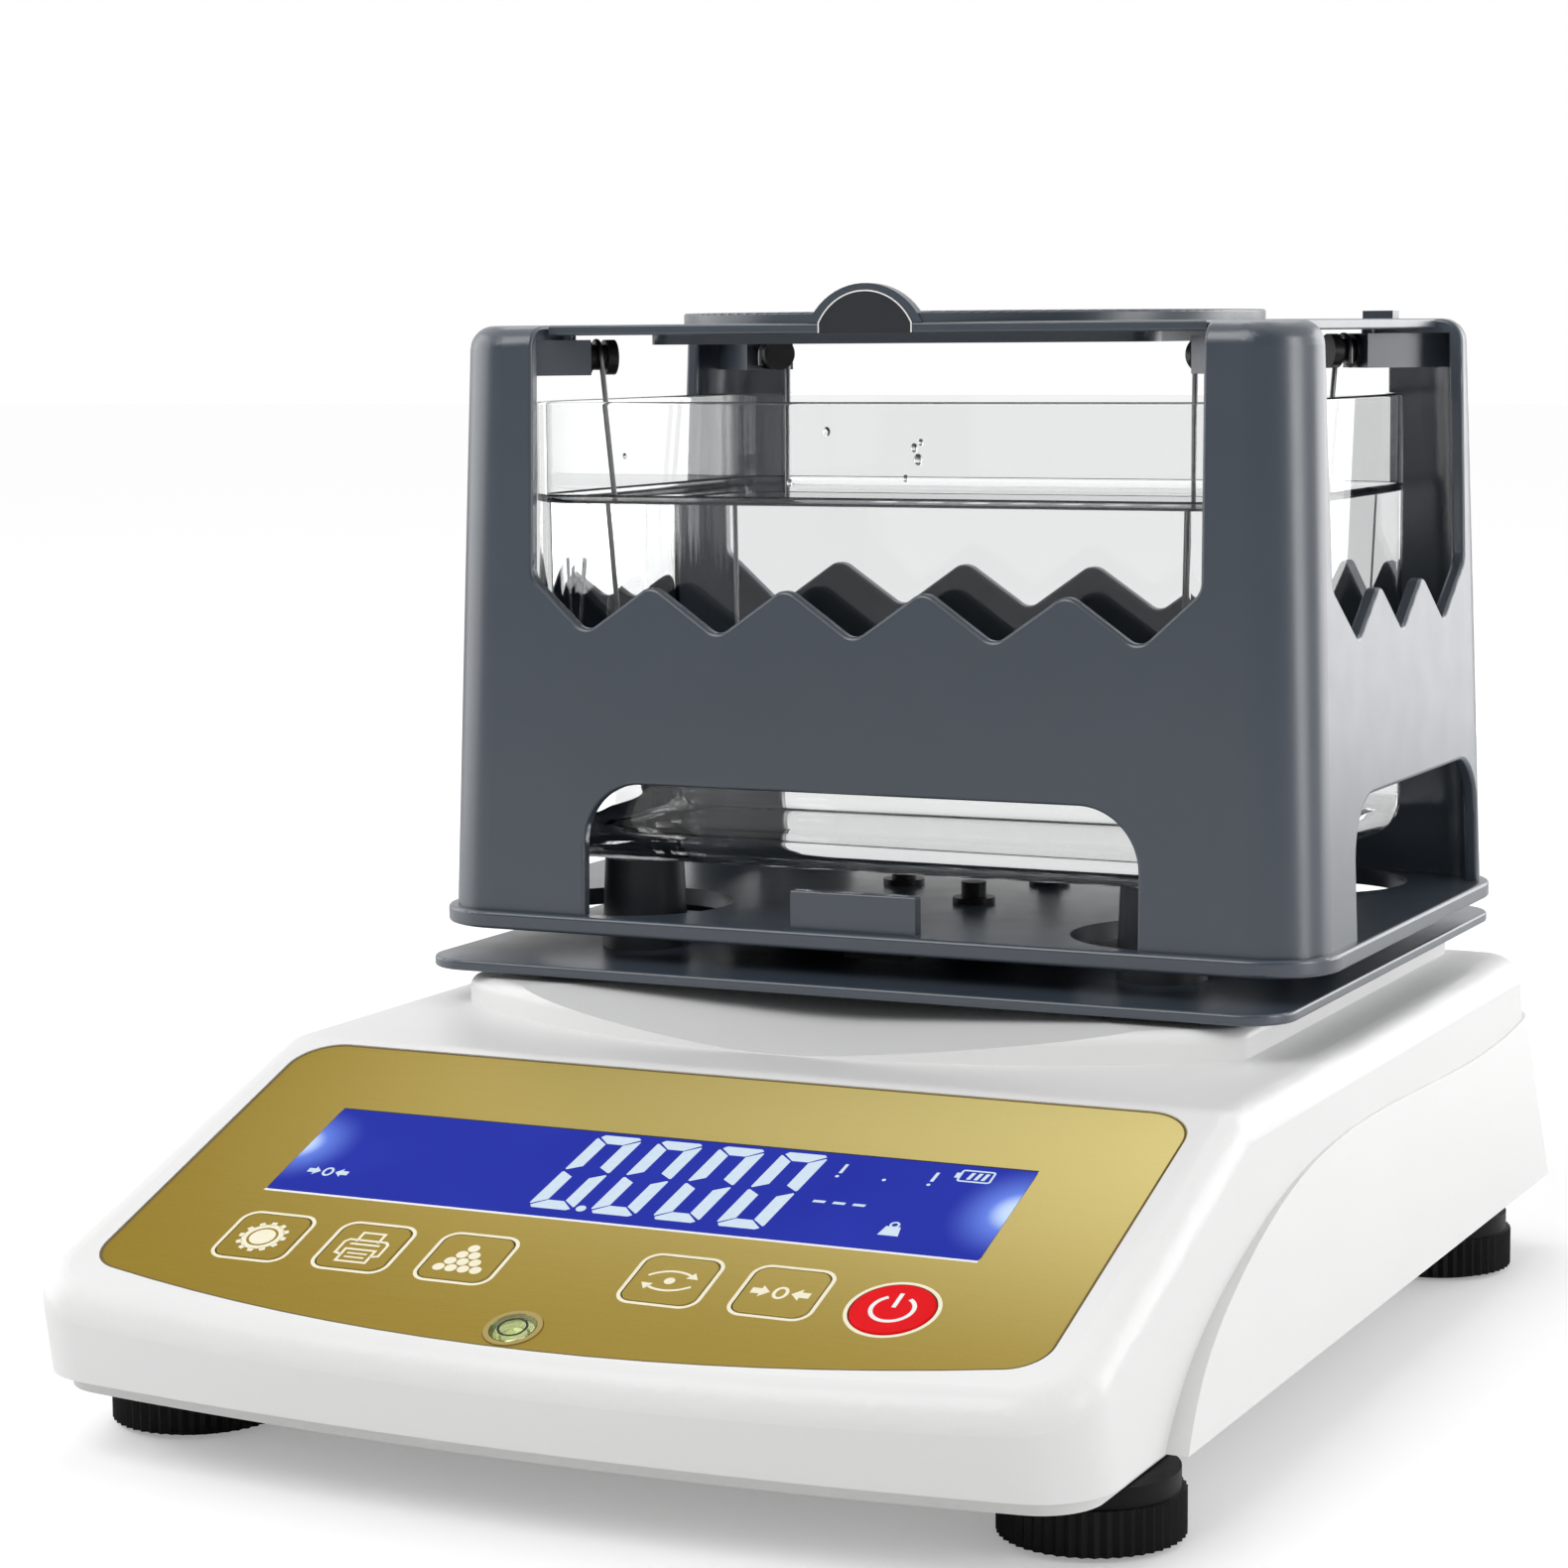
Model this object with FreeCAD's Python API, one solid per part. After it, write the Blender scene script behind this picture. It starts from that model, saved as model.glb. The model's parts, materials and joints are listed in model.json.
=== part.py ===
import FreeCAD, Part
import math
import os

os.makedirs("parts", exist_ok=True)
V = FreeCAD.Vector

# Frame of the part: X to the right, Y to the back, Z up, millimetres.
# The origin lies on the table, under the middle of the whole object.

# General clearances
over = 2.0                    # how far every cutter runs past what it cuts
fit_gap = 0.3                 # between fixed pieces that slide into each other
near = 0.1                    # how close counts as the same place, where edges are picked
sharp_turn = 40               # degrees between two faces that meet in a sharp edge
slip_gap = 0.1                # between trims that lie in one plane
thread_gap = 0.06             # round a stud or a screw shank
body_gap = 0.3                # between bodies that must not touch

# Case
case_z0 = 15.5                # lower edge of the upper shell
case_half_w = 101.9           # at the lower edge
case_side_lean = 2.5          # how far each side leans in up to the deck
case_y_front = -140.5         # middle of the front, at the lower edge
case_y_rear = 143.0
case_front_r = 658.0          # the front is a shallow arc seen from above
case_front_lean_share = 0.238 # forward lean of the front wall per unit of height
case_corner_front = 14.0
case_corner_rear = 10.0
case_edge_r = 6.0             # rounding round the top
case_wall = 3.0
deck_z = 63.4
deck_break_y = -50.3          # where the flat deck turns into the slope
deck_break_r = 10.0
deck_angle = 19.5             # slope of the front deck, degrees

# Stepped sides
cheek_x = case_half_w + 4.1   # outer face at the lower edge, 106 mm
cheek_x_top = case_half_w - 1.5   # outer face where the step ends
cheek_start_y = -99.0
cheek_top_z = 50.9
cheek_edge_r = 8.0

# Plinth under the plates
plinth_z = 69.5
plinth_half_w = case_half_w - 18.4
plinth_front_y = -33.0
plinth_side_y = -5.0
plinth_rear_y = case_y_rear - 6.0
plinth_corner = 6.0
plinth_edge_r = 2.5
ramp_start_y = -34.0
ramp_rise_share = 0.1         # climb of the ramp per unit of depth
ramp_side_share = 0.07        # climb of the ramp per unit to each side
ramp_valley_r = 200.0
plinth_room_y = 32.0          # the hollow under the plinth starts here

# Control panel, in the plane of the slope. u runs right, v runs up the slope from the deck break.
panel_t = 0.8
panel_sink = 1.0
panel_half_w = case_half_w - 10.4
panel_v_top = -2.0
panel_v_mid = -93.5
panel_v_side = -82.0           # at the panel's lower corners
panel_corner_top = 9.0
panel_corner_low = 8.0
window_w = 140.4
window_h = 29.0
window_v = -39.2
window_u = -0.7
window_corner = 1.2
window_ledge = 1.0
lcd_frame_w = 146.0
lcd_frame_h = 35.0
lcd_face_n = -1.3

# Keys
key_size = 13.9
key_corner = 2.6
key_edge_r = 0.35
key_v = -68.9
key_pitch = 20.8
key_first_u = 19.9            # from the keys' middle to the nearest key
key_mid_u = -0.8
key_gap = 0.25
key_bottom_n = -3.6
key_stem_r = 2.0
key_stem_n = -6.4
power_key_u = 60.7
power_key_v = -70.3
power_key_r = 7.35
switch_size = 6.0
switch_top_n = -7.0
board_top_n = -10.4
board_t = 1.6
board_half_w = panel_half_w - 10.5
board_v_top = -15.0
board_v_low = -80.5
board_post_r = 3.2
board_post_u = panel_half_w - 14.5
board_post_v_top = -19.5
board_post_v_low = -76.0
screw_r = 1.3
screw_head_r = 2.6
screw_head_h = 1.8

# Bubble level
level_u = -1.7
level_v = -87.6
level_r = 5.15
level_bore_r = 4.2
level_depth = 8.0
level_floor_t = 1.4
level_flange_r = 6.6
level_flange_t = 1.0
level_lens_t = 1.0
level_lens_gap = 0.08

# Lower shell
pan_z0 = 12.5
pan_floor_t = 2.5
pan_wall = 2.4
pan_rim_z = 21.5

# Levelling feet
foot_x = case_half_w - 13.3
foot_y_front = case_y_front + 42.5
foot_y_rear = case_y_rear - 35.0
foot_r = 16.0
foot_shoulder_r = 15.0
foot_z0 = 0.8
foot_knurl_z = 8.6
foot_knurl_depth = 0.6
foot_knurl_count = 48
foot_stud_r = 4.0
foot_stud_top = 24.0
foot_boss_r = 8.0
foot_boss_top = 23.0
pad_r = 13.0
pad_t = 2.2

# Weighing parts: everything above is centred here
centre_y = 65.8

# Lower plate
low_plate_half_w = 92.3
low_plate_half_d = 75.75
low_plate_z = 73.0
low_plate_t = 2.2
low_plate_corner = 9.8
low_plate_edge_r = 0.6
plate_pad_r = 6.0
plate_pad_x = 70.0
plate_pad_dy = 52.0

# Tank posts
post_x = 57.0
post_dy = 42.3
post_r_top = 8.2
post_r_low = 9.0

# Weighing frame
floor_half_w = 96.4
floor_half_d = 66.8
floor_z = 81.8
floor_t = 3.55
floor_corner = 15.3
floor_edge_r = 0.8
floor_hole_r = 21.0
floor_hole_x = 60.0
floor_hole_dy = 41.8
stop_half_w = 13.5
stop_y = 2.2
stop_t = 2.8
stop_h = 7.7
stop_edge_r = 0.5
frame_base_half_w = 94.5
frame_base_half_d = 64.2
frame_top_z = 201.3
frame_top_half_w = 90.8
frame_top_half_d = 61.2
frame_corner = 12.5
frame_wall = 3.0
frame_cap_r = 5.0
frame_rim_r = 0.8            # rounding of the windows' and arches' edges
zigzag_pitch = 29.7
zigzag_low_z = 139.3
zigzag_high_z = 149.6
zigzag_r = 3.6
opening_half_x = 71.6
opening_low_z = 150.4
opening_corner_r = 4.0
opening_side_half_low = 45.8
opening_side_half_top = 47.2
arch_half_x = 59.7
arch_z = 109.0
arch_corner_r = 12.5
arch_side_front_dy = -34.8
arch_side_rear_dy = 52.2
arm_z0 = 191.1
arm_z1 = 198.3
arm_w = 11.0
pip_r = 1.6
peg_x = frame_top_half_w - 26.1
peg_dy = frame_top_half_d - 20.55
peg_head_r = 3.6
peg_head_t = 2.2
peg_neck_r = 2.6
peg_neck_l = 3.2
peg_flange_t = 1.2
hub_screw_r = 4.4
hub_screw_cap_r = 2.6
hub_screw_circle = 18.0
hub_screw_first = -68.8       # degrees round the centre
hub_screw_count = 3
hub_screw_h = 4.4
hub_washer_h = 1.2

# Weighing pan
dish_half_w = 85.5
dish_half_d = 56.0
dish_t = 2.1
dish_notch_gap = 1.2
dish_corner = 3.0
dish_edge_r = 0.5
rim_half_w = 59.0
rim_half_d = 55.5
rim_corner = 50.0
rim_t = 2.0
rim_h = 2.2
lip_half_w = 55.0
lip_half_d = 46.0
lip_corner = 8.0
lip_h = 2.0
bump_x = 75.5
bump_y = 105.5
bump_w = 6.5
bump_d = 4.5
bump_h = 1.7
tab_half_w = 12.2
tab_h = 7.7
tab_t = 2.6
tab_face_share = 0.84
tab_face_depth = 1.2

# Hanging basket
wire_r = 0.55
wire_hook_leg = 2.6
basket_half_w = 66.0
basket_half_d = 42.0
basket_wire_x = 60.6
basket_wire_dy = 36.6
basket_z = 116.5
basket_t = 1.5
basket_rim_h = 5.0
basket_corner = 8.0
basket_hole_r = 3.2
basket_hole_pitch = 10.5
basket_holes_x = 11
basket_holes_y = 7

# Tank
tank_half_w = 79.5
tank_half_d = 55.0
tank_z0 = 91.5
tank_z1 = 185.8
tank_corner = 13.0
tank_wall = 2.2
tank_floor_t = 3.0
tank_foot_r = 8.0
tank_rim_r = 0.7

# Inside the case
cell_half_l = 65.0
cell_half_w = 12.0
cell_z0 = 25.0
cell_h = 22.0
cell_hole_r = 6.5
cell_hole_x = 9.0
cell_seat_l = 28.0
cell_travel_gap = 0.7
bridge_t = 3.5
bridge_half_w = 14.0
weigh_post_r = 8.0
weigh_hole_r = 11.0
spider_t = 3.6
spider_arm_w = 14.0
spider_reach_x = 72.0
spider_reach_y = 52.0
spider_hub_r = 18.0
main_board_half_w = case_half_w - 26.9
main_board_y0 = -62.0
main_board_y1 = 22.0
main_board_z = 22.0
standoff_r = 3.4
standoff_inset = 6.0
battery_x0 = -70.0
battery_w = 100.0
battery_y0 = 86.0
battery_d = 38.0
battery_h = 34.0
battery_corner = 3.0
door_t = 1.8
door_seat = 3.0
inlet_x = 56.0
inlet_z = 32.0
inlet_w = 9.0
inlet_h = 11.0
inlet_d = 13.0
inlet_bore_r = 3.1
inlet_pin_r = 1.0
port_x = 0.0
port_z = 34.0
port_w = 31.0
port_h = 12.6
port_d = 9.0
port_lip_w = 17.0
port_lip_h = 8.4
port_lip_t = 4.0
boss_r = 3.6
case_screw_x_front = case_half_w - 35.9
case_screw_y_front = case_y_front + 13.4
case_screw_x_rear = case_half_w - 29.9
case_screw_y_rear = case_y_rear - 11.5
case_screw_l = 16.0


# Plain helpers

def save(node, shape):
    """Write one node; a list of solids becomes a group."""
    if isinstance(shape, list):
        shape = Part.makeCompound(shape)
    shape.exportStep("parts/" + node + ".step")
    solids = shape.Solids
    print(node, len(solids), "solid", round(sum(s.Volume for s in solids) / 1000, 2), "cm3",
          "valid" if shape.isValid() else "NOT VALID")


def block(x0, x1, y0, y1, z0, z1):
    return Part.makeBox(x1 - x0, y1 - y0, z1 - z0, V(x0, y0, z0))


def rod(x, y, z0, z1, r):
    return Part.makeCylinder(r, z1 - z0, V(x, y, z0))


def rounded_path(points, radii):
    """Closed wire through the points, with a tangent arc of its own radius at each."""
    count = len(points)
    edges = []
    ends = []
    for i in range(count):
        here = points[i]
        back = points[i - 1] - here
        ahead = points[(i + 1) % count] - here
        back.normalize()
        ahead.normalize()
        if radii[i] == 0:
            ends.append((here, None, here))
            continue
        half = back.getAngle(ahead) / 2
        reach = radii[i] / math.tan(half)
        middle = back + ahead
        middle.normalize()
        depth = radii[i] / math.sin(half) - radii[i]
        ends.append((here + back * reach, here + middle * depth, here + ahead * reach))
    for i in range(count):
        start, mid, stop = ends[i]
        if mid is not None:
            edges.append(Part.Arc(start, mid, stop).toShape())
        following = ends[(i + 1) % count][0]
        if (following - stop).Length > 1e-6:
            edges.append(Part.LineSegment(stop, following).toShape())
    return Part.Wire(edges)


def plate_wire(half_w, half_d, r, z, cy=centre_y, cx=0.0):
    corners = [V(cx - half_w, cy - half_d, z), V(cx + half_w, cy - half_d, z),
               V(cx + half_w, cy + half_d, z), V(cx - half_w, cy + half_d, z)]
    return rounded_path(corners, [r] * len(corners))


def raised(wire, height):
    return Part.Face(wire).extrude(V(0, 0, height))


def plate(half_w, half_d, r, z0, z1, cy=centre_y, cx=0.0):
    return raised(plate_wire(half_w, half_d, r, z0, cy, cx), z1 - z0)


def edges_where(shape, test):
    """Edges whose middle and end points all pass the test."""
    found = []
    for edge in shape.Edges:
        spots = [v.Point for v in edge.Vertexes]
        spots.append(edge.valueAt((edge.FirstParameter + edge.LastParameter) / 2))
        if all(test(p) for p in spots):
            found.append(edge)
    return found


def turn_at(shape, edge):
    """Angle in degrees between the two faces that meet in an edge."""
    faces = shape.ancestorsOfType(edge, Part.Face)
    if len(faces) != 2:
        return 0
    middle = edge.valueAt((edge.FirstParameter + edge.LastParameter) / 2)
    normals = [face.normalAt(*face.Surface.parameter(middle)) for face in faces]
    return math.degrees(normals[0].getAngle(normals[1]))


def arc_sag(radius, half_chord):
    return radius - math.sqrt(radius * radius - half_chord * half_chord)


def mirrored(shape):
    return shape.mirror(V(0, 0, 0), V(1, 0, 0))


# The slope's own plane

deck_turn = FreeCAD.Rotation(V(1, 0, 0), deck_angle)
deck_place = FreeCAD.Placement(V(0, deck_break_y, deck_z), deck_turn)
tan_deck = math.tan(math.radians(deck_angle))


def on_slope(shape):
    """Move a shape drawn flat, with u, v, n as X, Y, Z, on to the slope."""
    moved = shape.copy()
    moved.Placement = deck_place
    return moved


def slope_z(y):
    return deck_z + tan_deck * (y - deck_break_y)


# Case

def case_outline(z, inset):
    """The case seen from above at one height: a shallow arc in front, straight sides and rear."""
    rise = z - case_z0
    half = case_half_w - inset - case_side_lean * rise / (deck_z - case_z0)
    front = case_y_front + inset - case_front_lean_share * rise
    corner = front + arc_sag(case_front_r, half)
    rear = case_y_rear - inset
    left_front = V(-half, corner, z)
    right_front = V(half, corner, z)
    right_rear = V(half, rear, z)
    left_rear = V(-half, rear, z)
    return Part.Wire([Part.Arc(left_front, V(0, front, z), right_front).toShape(),
                      Part.LineSegment(right_front, right_rear).toShape(),
                      Part.LineSegment(right_rear, left_rear).toShape(),
                      Part.LineSegment(left_rear, left_front).toShape()])


def case_block(inset, z0, z1):
    """Solid between two outlines, with its four upright edges rounded."""
    solid = Part.makeLoft([case_outline(z0, inset), case_outline(z1, inset)], True, True)
    upright = [e for e in solid.Edges
               if abs(e.Vertexes[0].Z - e.Vertexes[-1].Z) > (z1 - z0) / 2]
    front = [e for e in upright if e.Vertexes[0].Y < 0]
    rear = [e for e in upright if e.Vertexes[0].Y > 0]
    solid = solid.makeFillet(case_corner_front - inset, front)
    rear = [e for e in solid.Edges
            if abs(e.Vertexes[0].Z - e.Vertexes[-1].Z) > (z1 - z0) / 2 and e.Vertexes[0].Y > case_y_rear / 2]
    return solid.makeFillet(case_corner_rear - inset, rear)


def above_deck(inset):
    """What lies above the slope and the deck, lowered by the inset."""
    reach = 2 * case_y_rear
    slope = on_slope(block(-reach, reach, -reach, reach, -inset, reach))
    deck = block(-reach, reach, -reach, reach, deck_z - inset, reach)
    return slope, deck


def case_outer():
    solid = case_block(0, case_z0, deck_z + over)
    for cutter in above_deck(0):
        solid = solid.cut(cutter)
    crease = edges_where(solid, lambda p: abs(p.y - deck_break_y) < slip_gap and abs(p.z - deck_z) < slip_gap)
    solid = solid.makeFillet(deck_break_r, crease)

    rim = [e for e in solid.Edges if on_top_rim(solid, e)]
    return solid.makeFillet(case_edge_r, rim)


def on_top_rim(solid, edge):
    """True for an edge between the top (slope, crease or deck) and the walls."""
    top = 0
    wall = 0
    for face in solid.ancestorsOfType(edge, Part.Face):
        u0, u1, v0, v1 = face.ParameterRange
        up = face.normalAt((u0 + u1) / 2, (v0 + v1) / 2).z
        if up > math.cos(math.radians(2 * deck_angle)):
            top += 1
        elif up > -math.cos(math.radians(2 * deck_angle)):
            wall += 1
    return top == 1 and wall == 1


def case_inner():
    solid = case_block(case_wall, case_z0 - over, deck_z)
    for cutter in above_deck(case_wall):
        solid = solid.cut(cutter)
    return solid


def cheek_solid():
    """The stepped right side: it stands proud low down and runs out under the deck."""
    arch_shares = [(0, 0), (0.062, 0.342), (0.147, 0.596), (0.282, 0.85), (0.538, 0.96), (1, 1)]
    length = case_y_rear - cheek_start_y
    height = cheek_top_z - case_z0
    inner_x = case_half_w - 2 * case_wall - case_side_lean
    points = [V(inner_x, cheek_start_y + length * a, case_z0 + height * b) for a, b in arch_shares]
    arch = Part.BSplineCurve()
    arch.interpolate(points)
    foot = V(inner_x, case_y_rear, case_z0)
    wire = Part.Wire([arch.toShape(), Part.LineSegment(points[-1], foot).toShape(),
                      Part.LineSegment(foot, points[0]).toShape()])
    solid = Part.Face(wire).extrude(V(cheek_x - inner_x, 0, 0))
    outside = [V(cheek_x, -case_y_rear, case_z0), V(cheek_x_top, -case_y_rear, cheek_top_z),
               V(cheek_x_top, -case_y_rear, cheek_top_z + over), V(cheek_x + over, -case_y_rear, cheek_top_z + over),
               V(cheek_x + over, -case_y_rear, case_z0 - over), V(cheek_x, -case_y_rear, case_z0 - over)]
    shave = Part.Face(Part.makePolygon(outside + outside[:1])).extrude(V(0, 2 * case_y_rear + over, 0))
    solid = solid.cut(shave)
    rear = edges_where(solid, lambda p: abs(p.y - case_y_rear) < slip_gap and p.x > cheek_x_top - slip_gap)
    upright = [e for e in rear if abs(e.Vertexes[0].Z - e.Vertexes[-1].Z) > height / 2]
    return solid.makeFillet(cheek_edge_r, upright)


def plinth_solid():
    left = V(-plinth_half_w, plinth_side_y, deck_z - case_wall / 2)
    right = V(plinth_half_w, plinth_side_y, left.z)
    front = V(0, plinth_front_y, left.z)
    right_rear = V(plinth_half_w, plinth_rear_y, left.z)
    left_rear = V(-plinth_half_w, plinth_rear_y, left.z)
    wire = Part.Wire([Part.Arc(left, front, right).toShape(), Part.LineSegment(right, right_rear).toShape(),
                      Part.LineSegment(right_rear, left_rear).toShape(),
                      Part.LineSegment(left_rear, left).toShape()])
    solid = raised(wire, plinth_z - left.z)
    upright = [e for e in solid.Edges if abs(e.Vertexes[0].Z - e.Vertexes[-1].Z) > slip_gap]
    solid = solid.makeFillet(plinth_corner, upright)
    top = edges_where(solid, lambda p: abs(p.z - plinth_z) < slip_gap)
    return solid.makeFillet(plinth_edge_r, top)


def ramp_cutter():
    """A wide shallow valley that climbs to the back, under the front of the plates."""
    turn_x = ramp_side_share * ramp_valley_r
    turn_z = turn_x * ramp_side_share / 2
    side_x = plinth_half_w + over
    side_z = turn_z + ramp_side_share * (side_x - turn_x)
    top_z = deck_z + 2 * (plinth_z - deck_z)
    y = ramp_start_y
    low_left = V(-side_x, y, deck_z + side_z)
    left = V(-turn_x, y, deck_z + turn_z)
    right = V(turn_x, y, deck_z + turn_z)
    low_right = V(side_x, y, deck_z + side_z)
    high_right = V(side_x, y, top_z)
    high_left = V(-side_x, y, top_z)
    wire = Part.Wire([Part.LineSegment(low_left, left).toShape(),
                      Part.Arc(left, V(0, y, deck_z), right).toShape(),
                      Part.LineSegment(right, low_right).toShape(),
                      Part.LineSegment(low_right, high_right).toShape(),
                      Part.LineSegment(high_right, high_left).toShape(),
                      Part.LineSegment(high_left, low_left).toShape()])
    run = (plinth_z - deck_z) / ramp_rise_share
    return Part.Face(wire).extrude(V(0, run, run * ramp_rise_share))


def panel_blank(grow, n0, n1):
    """The panel's outline in the slope's own plane, grown by a gap, between two depths."""
    half = panel_half_w + grow
    top = panel_v_top + grow
    left = V(-half, panel_v_side - grow, n0)
    right = V(half, panel_v_side - grow, n0)
    low = V(0, panel_v_mid - grow, n0)
    left_top = V(-half, top, n0)
    right_top = V(half, top, n0)
    wire = Part.Wire([Part.Arc(left, low, right).toShape(), Part.LineSegment(right, right_top).toShape(),
                      Part.LineSegment(right_top, left_top).toShape(),
                      Part.LineSegment(left_top, left).toShape()])
    solid = raised(wire, n1 - n0)
    upright = [e for e in solid.Edges if abs(e.Vertexes[0].Z - e.Vertexes[-1].Z) > slip_gap]
    high = [e for e in upright if e.Vertexes[0].Y > window_v]
    solid = solid.makeFillet(panel_corner_top + grow, high)
    low_ends = [e for e in solid.Edges if abs(e.Vertexes[0].Z - e.Vertexes[-1].Z) > slip_gap
                and abs(e.Vertexes[0].Y - (panel_v_side - grow)) < slip_gap]
    return solid.makeFillet(panel_corner_low + grow, low_ends)


key_names = ["key_set", "key_print", "key_enter", "key_mode", "key_zero"]
key_spots = [key_mid_u - key_first_u - 2 * key_pitch, key_mid_u - key_first_u - key_pitch,
             key_mid_u - key_first_u, key_mid_u + key_first_u, key_mid_u + key_first_u + key_pitch]


def key_blank(u, grow, n0, n1):
    half = key_size / 2 + grow
    return plate(half, half, key_corner + grow, n0, n1, key_v, u)


def soft_topped(shape, radius):
    """Round the edges in the plane of the slope's top."""
    return shape.makeFillet(radius, edges_where(shape, lambda p: abs(p.z) < near))


def window_blank(grow, n0, n1):
    return plate(window_w / 2 + grow, window_h / 2 + grow, window_corner, n0, n1, window_v, window_u)


def board_post_spots():
    return [(side * board_post_u, v) for side in (-1, 1) for v in (board_post_v_top, board_post_v_low)]


def case_screw_spots():
    return [(side * x, y) for side in (-1, 1)
            for x, y in ((case_screw_x_front, case_screw_y_front), (case_screw_x_rear, case_screw_y_rear))]


def upper_shell():
    inner = case_inner()
    shell = case_outer().cut(inner)
    shell = shell.fuse(plinth_solid())
    shell = shell.cut(ramp_cutter())
    right_cheek = cheek_solid().cut(inner)
    shell = shell.fuse([right_cheek, mirrored(right_cheek)])
    room = plate(plinth_half_w - 2 * case_wall, (plinth_rear_y - plinth_room_y) / 2 - case_wall, plinth_corner,
                 deck_z - case_wall - over, plinth_z - case_wall, (plinth_rear_y + plinth_room_y) / 2)
    shell = shell.cut(room)

    # posts inside
    posts = []
    for x, y in case_screw_spots():
        top = min(slope_z(y), deck_z) - case_wall / 2
        posts.append(rod(x, y, pan_z0 + pan_floor_t + fit_gap, top, boss_r))
    for u, v in board_post_spots():
        posts.append(on_slope(rod(u, v, board_top_n, -case_wall / 2, board_post_r)))
    shell = shell.fuse(posts)
    for x, y in case_screw_spots():
        low = pan_z0 + pan_floor_t
        shell = shell.cut(rod(x, y, low - over, pan_z0 + case_screw_l, screw_r + thread_gap))
    for u, v in board_post_spots():
        shell = shell.cut(on_slope(rod(u, v, board_top_n - over, -case_wall - over, screw_r + thread_gap)))

    # seats and holes in the slope
    cuts = [on_slope(panel_blank(slip_gap, -panel_sink, over)),
            on_slope(window_blank(-window_ledge, -case_wall - over, over)),
            on_slope(rod(power_key_u, power_key_v, -case_wall - over, over, power_key_r + key_gap)),
            on_slope(rod(level_u, level_v, -case_wall - over, over, level_r + slip_gap))]
    for u in key_spots:
        cuts.append(on_slope(key_blank(u, key_gap, -case_wall - over, over)))

    # weighing hole, and the two sockets in the rear wall
    cuts.append(rod(0, centre_y, deck_z - case_wall - over, plinth_z + over, weigh_hole_r))
    rear = case_y_rear - case_wall - over
    cuts.append(block(inlet_x - inlet_w / 2 - slip_gap, inlet_x + inlet_w / 2 + slip_gap, rear, case_y_rear + over,
                      inlet_z - inlet_h / 2 - slip_gap, inlet_z + inlet_h / 2 + slip_gap))
    cuts.append(block(port_x - port_lip_w / 2 - slip_gap, port_x + port_lip_w / 2 + slip_gap, rear,
                      case_y_rear + over, port_z - port_lip_h / 2 - slip_gap, port_z + port_lip_h / 2 + slip_gap))
    for cutter in cuts:
        shell = shell.cut(cutter)
    return shell.removeSplitter()


def control_panel():
    sheet = panel_blank(0, -panel_sink, -panel_sink + panel_t)
    holes = [window_blank(slip_gap, -panel_sink - over, over),
             rod(power_key_u, power_key_v, -panel_sink - over, over, power_key_r + key_gap),
             rod(level_u, level_v, -panel_sink - over, over, level_r + slip_gap)]
    for u in key_spots:
        holes.append(key_blank(u, key_gap, -panel_sink - over, over))
    for hole in holes:
        sheet = sheet.cut(hole)
    return on_slope(sheet)


def display_window():
    return on_slope(window_blank(0, -panel_sink, -panel_sink + panel_t))


def lcd_module():
    frame_top = -case_wall - fit_gap
    frame = plate(lcd_frame_w / 2, lcd_frame_h / 2, window_corner, board_top_n, frame_top, window_v, window_u)
    face = window_blank(-window_ledge - fit_gap, frame_top, lcd_face_n)
    return on_slope(frame.fuse(face).removeSplitter())


def display_board():
    board = block(-board_half_w, board_half_w, board_v_low, board_v_top, board_top_n - board_t, board_top_n)
    half = switch_size / 2
    spots = [(u, key_v) for u in key_spots] + [(power_key_u, power_key_v)]
    for u, v in spots:
        board = board.fuse(block(u - half, u + half, v - half, v + half, board_top_n, switch_top_n))
    for u, v in board_post_spots():
        board = board.cut(rod(u, v, board_top_n - board_t - over, board_top_n + over, screw_r + thread_gap))
    return on_slope(board.removeSplitter())


def board_screws():
    low = board_top_n - board_t
    screws = []
    for u, v in board_post_spots():
        head = rod(u, v, low - screw_head_h, low, screw_head_r)
        shank = rod(u, v, low - screw_head_h / 2, -case_wall - over, screw_r)
        screws.append(on_slope(head.fuse(shank).removeSplitter()))
    return screws


def square_key(u):
    cap = soft_topped(key_blank(u, 0, key_bottom_n, 0), key_edge_r)
    stem = rod(u, key_v, key_stem_n, key_bottom_n, key_stem_r)
    return on_slope(cap.fuse(stem).removeSplitter())


def power_key():
    cap = soft_topped(rod(power_key_u, power_key_v, key_bottom_n, 0, power_key_r), key_edge_r)
    stem = rod(power_key_u, power_key_v, key_stem_n, key_bottom_n, key_stem_r)
    return on_slope(cap.fuse(stem).removeSplitter())


def level_cup():
    cup = rod(level_u, level_v, -level_depth, 0, level_r)
    flange_top = -case_wall - fit_gap
    cup = cup.fuse(rod(level_u, level_v, flange_top - level_flange_t, flange_top, level_flange_r))
    lens_low = slip_gap - level_lens_t
    seat_r = level_bore_r - (level_r - level_bore_r) / 2
    cup = cup.cut(rod(level_u, level_v, -level_depth + level_floor_t, over, seat_r))
    cup = cup.cut(rod(level_u, level_v, lens_low, over, level_bore_r))
    return on_slope(cup.removeSplitter())


def level_lens():
    return on_slope(rod(level_u, level_v, slip_gap - level_lens_t, slip_gap, level_bore_r - level_lens_gap))


# Underside

def foot_spots():
    return [("front_left", -foot_x, foot_y_front), ("front_right", foot_x, foot_y_front),
            ("rear_left", -foot_x, foot_y_rear), ("rear_right", foot_x, foot_y_rear)]


def door_box(grow, z0, z1):
    return block(battery_x0 - grow, battery_x0 + battery_w + grow, battery_y0 - grow,
                 battery_y0 + battery_d + grow, z0, z1)


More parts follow.
